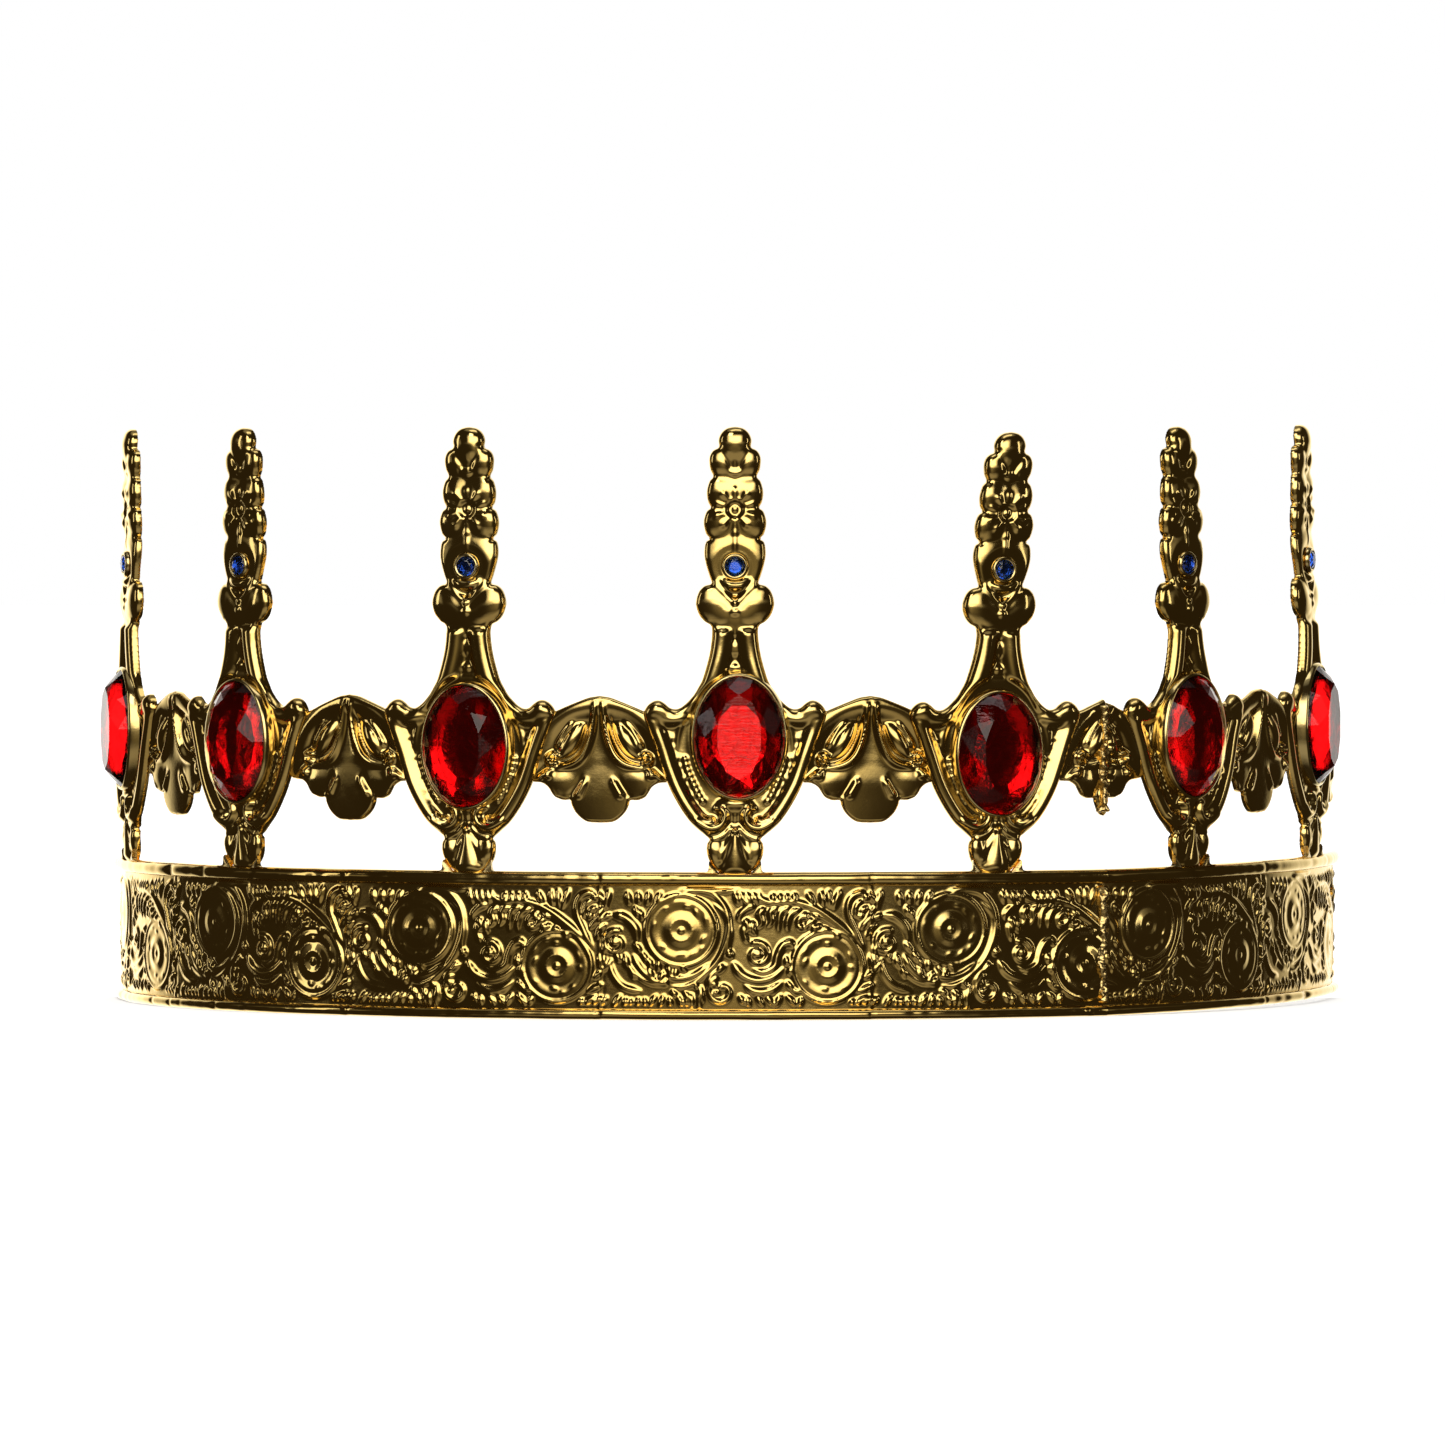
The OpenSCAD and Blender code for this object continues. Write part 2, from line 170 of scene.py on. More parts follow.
class Field:
    """A height field over (u, z), built from ridges and domes."""

    def __init__(self, U, Z):
        self.U, self.Z, self.H = U, Z, np.zeros(U.shape)

    def _part(self, u0, u1, z0, z1):
        c = np.where((self.U[0] >= u0) & (self.U[0] <= u1))[0]
        r = np.where((self.Z[:, 0] >= z0) & (self.Z[:, 0] <= z1))[0]
        if len(c) == 0 or len(r) == 0:
            return None
        return slice(r[0], r[-1] + 1), slice(c[0], c[-1] + 1)

    def _join(self, win, h, mode, k=0.12):
        a = self.H[win]
        if mode == "max":
            rise = 0.5 * (a + h + np.sqrt((a - h) ** 2 + k * k)) - 0.5 * (a + np.sqrt(a * a + k * k))
            self.H[win] = a + rise
        elif mode == "add":
            self.H[win] = a + h
        elif mode == "cut":
            self.H[win] = a - h

    def dome(self, u, z, a, b, h, p=1.0, ang=0.0, mode="max", mirror=False, k=0.12):
        for m in (1, -1) if mirror else (1,):
            r = max(a, b) * 1.05
            win = self._part(m * u - r, m * u + r, z - r, z + r)
            if win is None:
                continue
            x, y = self.U[win] - m * u, self.Z[win] - z
            c, s = math.cos(math.radians(ang * m)), math.sin(math.radians(ang * m))
            xr, yr = x * c + y * s, -x * s + y * c
            self._join(win, h * bump((xr / a) ** 2 + (yr / b) ** 2, p), mode, k)

    def ridge(self, pts, w, h, p=1.3, mode="max", mirror=False, taper=(0, 0), sub=6, straight=False, k=0.1):
        for m in (1, -1) if mirror else (1,):
            q = np.array(pts, float) * np.array([m, 1.0])
            line = q if straight or len(q) < 3 else spline(q, sub=sub)
            w0, w1 = (w, w) if np.isscalar(w) else w
            wm = max(w0, w1) * 1.1
            win = self._part(line[:, 0].min() - wm, line[:, 0].max() + wm, line[:, 1].min() - wm, line[:, 1].max() + wm)
            if win is None:
                continue
            d, t, _, _ = near(self.U[win], self.Z[win], line)
            ww = w0 + (w1 - w0) * t
            hh = h * np.ones_like(t)
            if taper[0]:
                f = np.sqrt(np.clip(t / taper[0], 0.02, 1))
                ww, hh = ww * f, hh * f
            if taper[1]:
                f = np.sqrt(np.clip((1 - t) / taper[1], 0.02, 1))
                ww, hh = ww * f, hh * f
            self._join(win, hh * bump((d / ww) ** 2, p), mode, k)

    def ring(self, u, z, r, w, h, p=1.3, a0=0, a1=360, squash=1.0, mode="max"):
        a = np.radians(np.linspace(a0, a1, 40))
        self.ridge(np.stack([u + r * np.cos(a), z + r * squash * np.sin(a)], -1), w, h, p, mode, straight=True)

    def beads(self, places, r, h, mode="max"):
        for u, z in places:
            self.dome(u, z, r, r, h, 0.9, mode=mode, k=0.05)

    def soften(self, times=1):
        for _ in range(times):
            h = np.pad(self.H, 1, mode="edge")
            h = 0.25 * h[:-2] + 0.5 * h[1:-1] + 0.25 * h[2:]
            self.H = 0.25 * h[:, :-2] + 0.5 * h[:, 1:-1] + 0.25 * h[:, 2:]


def wobble(U, Z, scale, seed):
    """Smooth seeded unevenness, about -1 to 1."""
    r = np.random.default_rng(seed)
    out = np.zeros(np.shape(U))
    for i in range(7):
        a, f, ph = r.uniform(0, math.pi), r.uniform(0.6, 1.7) / scale, r.uniform(0, 6.28)
        out = out + np.sin((U * math.cos(a) + Z * math.sin(a)) * f * 6.28 + ph) / 3
    return out


# ---------------------------------------------------------------- mesh helpers
def make_object(name, verts, faces, smooth_faces=True, sharp=None):
    me = bpy.data.meshes.new(name)
    me.from_pydata([tuple(v) for v in verts], [], [tuple(int(i) for i in f) for f in faces])
    me.validate()
    if smooth_faces:
        me.polygons.foreach_set("use_smooth", np.ones(len(me.polygons), bool))
    if sharp is not None:
        me.set_sharp_from_angle(angle=math.radians(sharp))
    ob = bpy.data.objects.new(name, me)
    bpy.context.scene.collection.objects.link(ob)
    return ob


def add_attribute(ob, name, values):
    at = ob.data.attributes.new(name, "FLOAT", "POINT")
    at.data.foreach_set("value", np.asarray(values, np.float32))


def blur(h, n):
    for _ in range(n):
        p = np.pad(h, 1, mode="edge")
        h = (p[:-2, 1:-1] + p[2:, 1:-1] + p[1:-1, :-2] + p[1:-1, 2:] + 2 * h) / 6
    return h


def sheet_mesh(name, U, Z, H, place, base, thick, outline=None, edge=(0.5, 0.6), drop=None):
    """A closed thin pressed sheet: front at base + H, back one thickness behind it, cut to the outline, whose edge rolls back."""
    nz, nu = U.shape
    cell = U[0, 1] - U[0, 0]
    # depth of the relief below its blurred self: the gold material turns it into painted shade in the hollows
    recess_shade_depth = H - blur(H, 10)
    if outline is None:
        keep = np.ones((nz - 1, nu - 1), bool)
        D = np.minimum.reduce([U - U.min(), U.max() - U, Z - Z.min(), Z.max() - Z])
        u, z = U.copy(), Z.copy()
    else:
        D, _, qu, qz = near(U, Z, outline, closed=True)
        ins = inside(U, Z, outline) & (D > 0.3 * cell)
        keep = ins[:-1, :-1] | ins[1:, :-1] | ins[:-1, 1:] | ins[1:, 1:]
        u, z = np.where(ins, U, qu), np.where(ins, Z, qz)
        D = np.where(ins, D, 0)
    w, fall = edge
    x = np.clip(D / w, 0, 1)
    n = base + H - fall * (1 - np.sqrt(1 - (1 - x) ** 2))
    if drop is not None:
        n = n + drop(u, z)
    idx = -np.ones((nz, nu), int)
    used = np.zeros((nz, nu), bool)
    used[:-1, :-1] |= keep
    used[1:, :-1] |= keep
    used[:-1, 1:] |= keep
    used[1:, 1:] |= keep
    idx[used] = np.arange(used.sum())
    N = used.sum()
    front = place(u[used], z[used], n[used])
    back = place(u[used], z[used], n[used] - thick)
    r, c = np.where(keep)
    q = np.stack([idx[r, c], idx[r, c + 1], idx[r + 1, c + 1], idx[r + 1, c]], -1)
    e = np.concatenate([q[:, [0, 1]], q[:, [1, 2]], q[:, [2, 3]], q[:, [3, 0]]])
    key = np.sort(e, axis=1)
    _, first, count = np.unique(key[:, 0].astype(np.int64) * (N + 1) + key[:, 1], return_index=True, return_counts=True)
    b = e[first[count == 1]]
    side = np.stack([b[:, 1], b[:, 0], b[:, 0] + N, b[:, 1] + N], -1)
    faces = np.concatenate([q, q[:, ::-1] + N, side])
    ob = make_object(name, np.vstack([front, back]), faces, sharp=38)
    # stored for the painted shade in the hollows; the back carries it with the opposite sign
    sheet_shade_depth = recess_shade_depth[used]
    add_attribute(ob, "recess_shade", np.concatenate([sheet_shade_depth, -sheet_shade_depth]))
    return ob


def grid(u0, u1, z0, z1, cell=None):
    cell = cell or CELL
    nu, nz = max(2, int(round((u1 - u0) / cell)) + 1), max(2, int(round((z1 - z0) / cell)) + 1)
    return np.meshgrid(np.linspace(u0, u1, nu), np.linspace(z0, z1, nz))


# ---------------------------------------------------------------- outlines
HALF_POINT = [(0, 20.9), (1.4, 21.1), (2.5, 21.8), (3.4, 22.7), (3.95, 23.7), (4.2, 25), (4.05, 26), (3.75, 26.5),
              (4.8, 27.4), (6.3, 28.7), (7.6, 30.4), (8.75, 32.3), (9.6, 34), (10.15, 35.4), (10.7, 37), (11.3, 38.9), (12.1, 41.2),
              (12.8, 43), (13.35, 44.4), (13.25, 45.4), (12.6, 46.3), (11.8, 46.8), (11, 46.85), (10.2, 46.4), (9.5, 45.8), (8.75, 45.6),
              (8, 45.8), (7.2, 46.4), (6.1, 47.6), (5.5, 48.6), (4.9, 49.7), (4.5, 50.9), (4.1, 52.3), (3.75, 53.8), (3.5, 55.5), (3.45, 57.6),
              (4.4, 58.3), (5.15, 59.1), (5.6, 60.1), (5.75, 61), (5.6, 62), (5.15, 63), (4.4, 63.65), (3.45, 63.95),
              (3.75, 65), (4.2, 66.5), (4.5, 68), (4.45, 69.3), (4.2, 70.1), (3.65, 70.5),
              (4.2, 71.1), (4.5, 72), (4.6, 72.9), (4.45, 73.8), (4.1, 74.6), (3.55, 75.05),
              (3.9, 75.7), (4.1, 76.5), (4.15, 77.3), (4, 78.2), (3.7, 79), (3.2, 79.6),
              (3.6, 80.5), (3.75, 81.3), (3.8, 82.1), (3.6, 82.9), (3.1, 83.5), (2.35, 83.9),
              (2.45, 84.8), (2.25, 85.6), (1.75, 86.3), (1, 86.75), (0, 86.9)]
HALF_LEAF = [(0, 47.5), (1.6, 47.25), (3.1, 46.7), (5.1, 45.9), (6.5, 45.3), (8.2, 44.6), (9.6, 42.8),
             (10.6, 40), (11.5, 37), (11.2, 35.2), (10.2, 34.8), (8.8, 34.7), (7.8, 34.15), (7.3, 33.4), (6.7, 32.6), (5.6, 32.15), (4.5, 32.15),
             (4.3, 31.5), (3.8, 30.5), (2.9, 29.55), (1.8, 28.95), (0, 28.85)]


def both_sides(half):
    right = spline(half, sub=3)
    left = right[::-1].copy()
    left[:, 0] *= -1
    return np.vstack([right, left[1:-1]])


POINT_OUTLINE, LEAF_OUTLINE = both_sides(HALF_POINT), both_sides(HALF_LEAF)
RED = dict(z=41.5, a=6.6, b=8.95)
BLUE_Z = 66.45


# ---------------------------------------------------------------- the pressed relief of a point
def seat(H, U, Z, drop):
    """Flattens the relief under the oval stone."""
    rho = np.sqrt((U / (RED["a"] + 0.45)) ** 2 + ((Z - RED["z"] + drop) / (RED["b"] + 0.15)) ** 2)
    k = smooth(0.95, 1.02, rho)
    return H * k + 0.12 * (1 - k)


def point_relief(U, Z):
    f = Field(U, Z)
    D, _, _, _ = near(U, Z, POINT_OUTLINE, closed=True)
    D = np.where(inside(U, Z, POINT_OUTLINE), D, 0)
    A = np.abs(U)
    # rolled rails of the V, from the shoulders down to the foot
    band = smooth(26.4, 28.4, Z) * (1 - smooth(43.4, 45.8, Z))
    f.H = np.maximum(f.H, 1.0 * band * bump(((D - 1.05) / 1.45) ** 2, 1.1))
    # flutes of the neck, which run out along the shoulders
    up = smooth(43.8, 46.6, Z + 0.25 * (A - 8)) * (1 - smooth(56.6, 57.8, Z))
    f.H = np.maximum(f.H, 1.2 * up * bump(((D - 1.55) / 1.85) ** 2, 1.0))
    f.dome(11.1, 44.9, 2.6, 2.5, 1.05, 1.0, mirror=True, k=0.5)
    f.ridge([(11.3, 45.1), (9.4, 44.2), (8.0, 44.7), (6.9, 46.2)], (1.8, 1.2), 0.85, 1.1, mirror=True, taper=(0, 0.4), k=0.5)
    # thin raised line around the setting, and the scalloped line inside the rails
    f.ridge([(1.5, 51.7), (3.3, 50.0), (5.2, 47.8), (6.9, 45.2), (8.05, 42.6), (8.4, 40.4), (8.2, 38.6)], 0.42, 0.42, 1.3, mirror=True, taper=(0.15, 0.3))
    wav = [(10.4, 42.8), (9.75, 41.4), (9.6, 40.0), (8.8, 38.5), (8.6, 37.2), (7.7, 35.6), (7.45, 34.4), (6.6, 32.9), (6.2, 31.6), (5.4, 30.6)]
    f.ridge(wav, 0.45, 0.34, 1.3, mirror=True, taper=(0.1, 0.1))
    for u, z in wav[1:-1]:
        f.dome(u - 0.35, z - 0.15, 0.55, 0.8, 0.24, 1.2, ang=30, mirror=True)
    line = spline(np.array([(6.35, 38.6), (6.05, 37.2), (5.5, 35.8), (4.9, 34.4), (4.2, 33.0), (3.4, 31.9)]), sub=8)
    run = np.concatenate([[0], np.cumsum(np.hypot(*np.diff(line, axis=0).T))])
    at = np.arange(0.1, run[-1], 0.84)
    pearls = np.stack([np.interp(at, run, line[:, 0]), np.interp(at, run, line[:, 1])], -1)
    f.beads([(m * (u + 0.95), z - 0.25) for m in (1, -1) for u, z in pearls], 0.45, 0.62)
    # neck: slim drop between two fine lines, over a bead
    f.ridge([(0.25, 56.7), (0.75, 54.6), (1.2, 52.6), (2.1, 50.9)], 0.34, 0.45, 1.3, mirror=True, taper=(0.1, 0.2))
    f.ridge([(0, 55.9), (0, 54.4), (0, 53.2)], (0.35, 0.6), 0.5, 1.2, taper=(0.35, 0.25), straight=True, mode="add")
    f.dome(0, 51.6, 1.0, 0.7, 0.4, 1.1, mode="add")
    # heart knob
    f.dome(2.95, 61.0, 3.1, 3.3, 1.15, 0.95, mirror=True, k=0.6)
    f.dome(0, 59.2, 4.3, 3.4, 1.0, 1.0, k=0.6)
    f.ridge([(0, 61.0), (1.3, 62.4), (2.8, 63.9)], (0.4, 0.6), 0.3, 1.3, mode="add", mirror=True, straight=True)
    f.dome(0, 63.1, 1.5, 1.5, 0.35, 1.2, mode="cut")
    f.ridge([(4.2, 58.4), (2.4, 57.5), (0, 56.5), (-2.4, 57.5), (-4.2, 58.4)], 0.42, 0.5, 1.2)
    f.dome(0, 59.85, 0.75, 0.75, 0.42, 1.0, mode="add")
    f.ridge([(0, 60.7), (0, 61.9)], 0.28, 0.25, 1.3, straight=True, mode="add")
    # vase that holds the blue stone, with a moat around the setting
    f.dome(0, 67.1, 4.9, 5.0, 1.0, 0.85, k=0.4)
    rb = np.hypot(U, Z - BLUE_Z)
    f.H -= 0.26 * np.exp(-((rb - 2.3) / 0.75) ** 2) * smooth(63.2, 64.6, Z)
    f.ridge([(0, 68.9), (0, 70.7)], 0.26, 0.28, 1.3, straight=True, mode="add")
    a = np.radians(np.linspace(218, 322, 14))
    f.ridge(np.stack([2.85 * np.cos(a), 66.5 + 2.85 * np.sin(a)], -1), 0.95, 1.25, 1.0, taper=(0.35, 0.35), straight=True, k=0.25)
    # three pairs of lobes, small flower, ball
    f.dome(2.4, 73.1, 2.5, 2.7, 0.95, 1.0, mirror=True, k=0.45)
    f.dome(2.1, 77.4, 2.4, 2.65, 0.95, 1.0, mirror=True, k=0.45)
    f.dome(1.8, 81.7, 2.3, 2.6, 0.95, 1.0, ang=-16, mirror=True, k=0.45)
    f.dome(0, 75.3, 2.8, 5.8, 0.6, 0.9, k=0.4)
    f.dome(0, 80.25, 0.95, 0.8, 0.5, 1.1, mode="add")
    f.ridge([(0.3, 80.5), (1.2, 82.3), (2.0, 84.1)], 0.45, 0.22, 1.3, mode="cut", mirror=True, straight=True)
    f.ridge([(0, 83.0), (0, 81.2)], 0.3, 0.2, 1.3, straight=True, mode="add")
    for i in range(10):
        t = math.radians(36 * i + 18)
        f.ridge([(1.9 * math.cos(t), 74.8 + 1.9 * math.sin(t)), (2.9 * math.cos(t), 74.8 + 2.9 * math.sin(t))], (0.28, 0.5), 0.3, 1.2, straight=True, mode="add")
    f.dome(0, 74.8, 1.8, 1.8, 0.4, 1.0, mode="cut")
    f.ring(0, 74.8, 1.45, 0.34, 0.22, 1.0, mode="add")
    f.beads([(1.45 * math.cos(t), 74.8 + 1.45 * math.sin(t)) for t in np.radians(np.arange(0, 360, 360 / 12))], 0.3, 0.2, mode="add")
    f.dome(0, 74.8, 0.6, 0.65, 0.4, 1.0, mode="add")
    f.dome(0, 71.3, 0.6, 0.5, 0.3, 1.0, mode="add")
    f.dome(0, 84.4, 2.85, 2.8, 1.3, 0.85, k=0.35)
    # saddle under the oval stone, with a small tongue
    f.dome(0, 31.7, 2.8, 1.15, 1.15, 0.9)
    f.dome(0, 30.6, 1.25, 1.5, 0.6, 1.0, k=0.2)
    f.ridge([(0, 29.9), (0, 28.2)], 0.26, 0.3, 1.3, straight=True, mode="add")
    # volutes: each rail runs on into a C that opens outwards, with a hook inside it
    f.ridge([(6.2, 29.8), (4.9, 28.75), (3.5, 28.15), (2.2, 28.5), (1.5, 29.5), (1.65, 30.6), (2.5, 31.15), (3.1, 30.75)], (1.0, 0.62), 1.3, 0.9, mirror=True, taper=(0.1, 0.15))
    f.ridge([(4.9, 30.3), (4.55, 29.5), (3.7, 29.2), (2.95, 29.5)], (0.35, 0.55), 1.05, 0.9, mirror=True, taper=(0.3, 0.1))
    # collar line over the foot
    f.ridge([(4.0, 26.55), (2.9, 26.6), (1.8, 27.0), (0.9, 27.9), (0.3, 28.8)], 0.36, 0.7, 1.1, mirror=True, taper=(0.1, 0.2))
    # foot: a slim central cone between two fine lines, and a broad petal at each side
    half = np.interp(Z, [20, 22.0, 23.4, 25.0, 26.6, 27.6], [1.9, 2.0, 1.75, 1.15, 0.65, 0.3])
    f.H = np.maximum(f.H, 0.85 * bump(np.clip(A / (half + 0.1), 0, 1) ** 2, 0.9) * smooth(28.2, 27.2, Z) * smooth(21.0, 22.4, Z))
    f.ridge([(0.5, 27.3), (1.15, 25.9), (1.8, 24.4), (2.2, 23.3), (2.55, 23.7)], 0.3, 0.6, 1.1, mirror=True, taper=(0.1, 0.1), straight=True)
    f.dome(2.95, 24.9, 1.6, 2.2, 0.62, 1.0, ang=-16, mirror=True, k=0.1)
    f.dome(0, 27.7, 0.55, 0.55, 1.15, 0.9)
    # the seats of the stones are pressed flat
    f.H = seat(f.H, U, Z, 0.0)
    f.H = np.where(rb < 2.05, f.H * smooth(1.45, 2.05, rb) + 0.02 * (1 - smooth(1.45, 2.05, rb)), f.H)
    f.soften(3 if CELL < 0.3 else 1)
    return 0.88 * f.H


# ---------------------------------------------------------------- the pressed relief of a leaf swag
def leaf_relief(U, Z):
    f = Field(U, Z)
    D, _, _, _ = near(U, Z, LEAF_OUTLINE, closed=True)
    D = np.where(inside(U, Z, LEAF_OUTLINE), D, 0)
    A = np.abs(U)
    # broad rolled arch along the top that runs down into the rails
    f.ridge([(-10.9, 35.6), (-10.2, 37.8), (-9.2, 40.2), (-7.8, 42.6), (-6.0, 44.3), (-3.6, 45.6), (0, 46.3), (3.6, 45.6), (6.0, 44.3), (7.8, 42.6), (9.2, 40.2), (10.2, 37.8), (10.9, 35.6)],
            2.1, 1.0, 1.0, taper=(0.08, 0.08), k=0.2)
    # body swell and skirt
    f.dome(0, 34.6, 10.5, 6.0, 0.45, 1.2, k=0.3)
    f.dome(0, 32.9, 4.3, 4.4, 0.3, 0.6, k=0.3)
    f.dome(6.6, 34.9, 3.6, 2.8, 0.6, 0.9, ang=-12, mirror=True, k=0.2)
    f.ridge([(1.7, 35.7), (2.4, 34.3), (3.5, 32.4)], (0.45, 0.85), 0.95, 0.9, mirror=True, taper=(0.3, 0.15), k=0.15)
    f.ridge([(2.6, 36.1), (3.4, 34.3), (4.7, 32.4)], (0.3, 0.5), 0.35, 1.2, mode="cut", mirror=True, taper=(0.2, 0.1))
    # trumpet: a flat body between two flutes, narrow at the top, flaring into the skirt
    half = np.interp(Z, [28, 34.0, 35.6, 36.6, 37.4, 38.4, 40.0, 42.0, 44.5, 47.4], [9.0, 8.0, 6.2, 4.9, 3.7, 2.7, 1.9, 1.3, 0.8, 0.5])
    x = np.clip(A / half, 0, 1)
    cone = (0.35 + 0.45 * x**2) * bump(x**2, 0.4) * smooth(33.0, 38.5, Z)
    f.H = 0.5 * (f.H + cone + np.sqrt((f.H - cone) ** 2 + 0.1 * smooth(40, 34, Z)))
    f.ridge([(0.5, 46.9), (0.75, 44.4), (1.1, 42.2), (1.7, 40.2), (2.5, 38.6), (3.8, 37.5), (5.6, 37.0), (7.6, 36.8)], (0.5, 0.85), 1.3, 0.9, mirror=True, taper=(0.05, 0.35), k=0.2)
    f.ridge([(1.3, 45.0), (1.75, 42.6), (2.5, 40.6), (3.6, 39.1), (5.2, 38.1), (7.0, 37.8)], 0.4, 0.45, 1.3, mode="cut", mirror=True, taper=(0.2, 0.2))
    # drop-shaped petals with a thin vein on their outer side
    f.dome(4.2, 40.8, 1.6, 3.4, 1.3, 0.85, ang=31, mirror=True, k=0.2)
    f.ridge([(3.5, 44.0), (4.7, 42.7), (5.9, 40.9), (6.5, 39.6)], 0.36, 1.05, 1.1, mirror=True, taper=(0.2, 0.15))
    f.ridge([(3.6, 43.2), (4.7, 42.2), (5.6, 40.6)], 0.3, 0.3, 1.3, mode="cut", mirror=True, taper=(0.2, 0.2))
    # small curls at the petals' tips
    f.ridge([(6.2, 38.5), (7.0, 38.9), (7.7, 38.3), (7.4, 37.5), (6.7, 37.6)], 0.4, 1.45, 1.1, mirror=True)
    f.dome(7.7, 35.8, 0.9, 0.7, 1.35, 0.9, mirror=True)
    f.ridge([(6.7, 36.5), (7.7, 36.4), (8.7, 35.6), (9.3, 34.9)], 0.36, 1.15, 1.1, mirror=True, taper=(0.15, 0.2))
    # folds of the skirt and the crease that the die leaves
    f.ridge([(9.4, 34.7), (7.7, 33.7), (6.7, 32.6)], 0.45, 0.3, 1.0, mode="add", mirror=True)
    f.soften(3 if CELL < 0.3 else 1)
    return 0.85 * f.H


# ---------------------------------------------------------------- the scrollwork of the band, one repeat
def spiral(u, z, r, turns, start, hand=1, n=36):
    t = np.linspace(0, 1, n)
    a = math.radians(start) + hand * 2 * math.pi * turns * t
    rr = r * (1 - 0.86 * t)
    return np.stack([u + rr * np.cos(a), z + rr * np.sin(a)], -1)


def scroll_relief(U, Z):
    """One repeat of the scrollwork. Strokes that leave the repeat on one side come back on the other."""
    f = Field(U, Z)

    def ridge(pts, w, h, **k):
        pts = np.array(pts, float)
        w = w * 1.5 if np.isscalar(w) else (w[0] * 1.5, w[1] * 1.5)
        for shift in (-PITCH, 0, PITCH):
            f.ridge(pts + np.array([shift, 0]), w, h, **k)

    def dome(u, z, a, b, h, **k):
        if max(a, b) < 2:
            a, b, h = a * 1.55, b * 1.25, h * 1.1
        for shift in (-PITCH, 0, PITCH):
            f.dome(u + shift, z, a, b, h, **k)

    def rosette(u, z, turn):
        for shift in (-PITCH, 0, PITCH):
            q = np.hypot(U - u - shift, Z - z)
            f.H = np.maximum(f.H, np.interp(q, [0, 0.6, 1.1, 1.6, 2.1, 2.7, 3.2, 3.8, 4.3, 4.7, 5.0, 9], [0.62, 0.58, 0.66, 0.78, 0.62, 0.36, 0.34, 0.5, 0.56, 0.4, 0, 0]))
            f.ring(u + shift, z, 5.2, 0.42, 0.85, 1.2)
            f.beads([(u + shift + 1.62 * math.cos(t), z + 1.62 * math.sin(t)) for t in np.radians(np.arange(0, 360, 20))], 0.24, 0.16, mode="add")
            f.dome(u + shift, z, 0.9, 0.9, 0.2, 1.0, mode="cut")
            f.dome(u + shift, z, 0.6, 0.6, 0.5, 1.0, mode="add")
        r = np.random.default_rng(turn)
        for a in np.arange(0, 360, 24):
            if r.random() < 0.72:
                t = math.radians(a + turn * 9 + r.uniform(-6, 6))
                q = r.uniform(3.3, 4.1)
                dome(u + q * math.cos(t), z + q * math.sin(t), 0.24, r.uniform(0.5, 1.05), 0.66, p=1.1, ang=math.degrees(t) + r.uniform(-28, 28))

    rosette(-7.85, 13.15, 3)
    rosette(13.55, 7.85, 5)
    # second line on the right of the high rosette, and the long stem that wraps it
    ridge([(-8.6, 18.2), (-6.4, 18.9), (-3.6, 18.6), (-2.0, 17.3), (-1.0, 15.2), (-1.1, 12.4), (-2.2, 9.3), (-4.2, 6.9), (-6.9, 5.0), (-9.4, 4.9)], 0.36, 0.78, taper=(0.1, 0.1))
    ridge([(-3.2, 17.2), (-1.6, 15.6), (-0.7, 13.4), (-0.9, 10.6)], 0.26, 0.7, taper=(0.2, 0.2))
    ridge([(-3.6, 8.3), (-6.0, 6.6), (-8.6, 6.1), (-10.6, 7.0)], 0.34, 0.8, taper=(0.2, 0.2))
    ridge([(-8.4, 18.0), (-11.0, 16.9), (-12.9, 14.7), (-13.2, 12.4)], 0.26, 0.7, taper=(0.1, 0.3))
    ridge([(-9.6, 5.1), (-12.1, 5.9), (-13.9, 7.6), (-15.0, 9.6)], 0.42, 0.8, taper=(0.1, 0.2))
    ridge([(-8.4, 18.9), (-5.2, 19.1), (-2.0, 18.9), (0.6, 19.1)], 0.3, 0.7, taper=(0.2, 0.2))
    # leaflets under the high rosette
    for u, z, a, l in [(-14.2, 10.6, 35, 0.9), (-13.2, 9.2, 30, 0.8), (-12.4, 8.3, 20, 0.8), (-11.2, 8.0, 5, 0.8), (-12.4, 6.9, 30, 0.8), (-10.8, 6.3, -25, 0.8),
                       (-9.6, 7.3, 15, 0.8), (-8.7, 6.9, -5, 0.7), (-10.2, 5.6, -40, 0.6), (-7.6, 7.6, 40, 0.7), (-15.9, 8.6, 15, 1.0), (-15.0, 6.9, 20, 0.9)]:
        dome(u, z, 0.3, l, 0.85, p=0.9, ang=a)
    ridge([(-18.4, 8.8), (-18.0, 6.8), (-16.4, 4.9), (-13.6, 4.1)], 0.36, 0.75, taper=(0.2, 0.2))
    ridge([(-16.6, 9.2), (-15.2, 7.4), (-13.3, 5.8), (-10.8, 4.8)], 0.28, 0.7, taper=(0.2, 0.2))
    # stem down the middle with its bead
    ridge([(-0.9, 15.2), (-0.8, 12.9), (-1.0, 10.4), (-0.3, 8.9)], 0.3, 0.75, taper=(0.2, 0.2))
    dome(-0.8, 9.7, 0.42, 0.5, 1.0, p=0.9)
    # small ring scroll at the foot of the middle
    ridge(spiral(-1.95, 4.2, 2.2, 1.25, 100, 1), (0.36, 0.26), 0.85, taper=(0.05, 0.1))
    ridge([(-1.2, 8.1), (-1.9, 7.6), (-3.4, 6.6), (-4.3, 5.0)], 0.3, 0.8, taper=(0.2, 0.2))
    dome(-3.0, 5.2, 0.42, 0.42, 0.9, p=0.9)
    dome(-2.8, 4.0, 0.42, 0.35, 0.85, p=0.9)
    dome(-2.2, 7.6, 0.28, 0.75, 0.9, p=0.9, ang=-25)
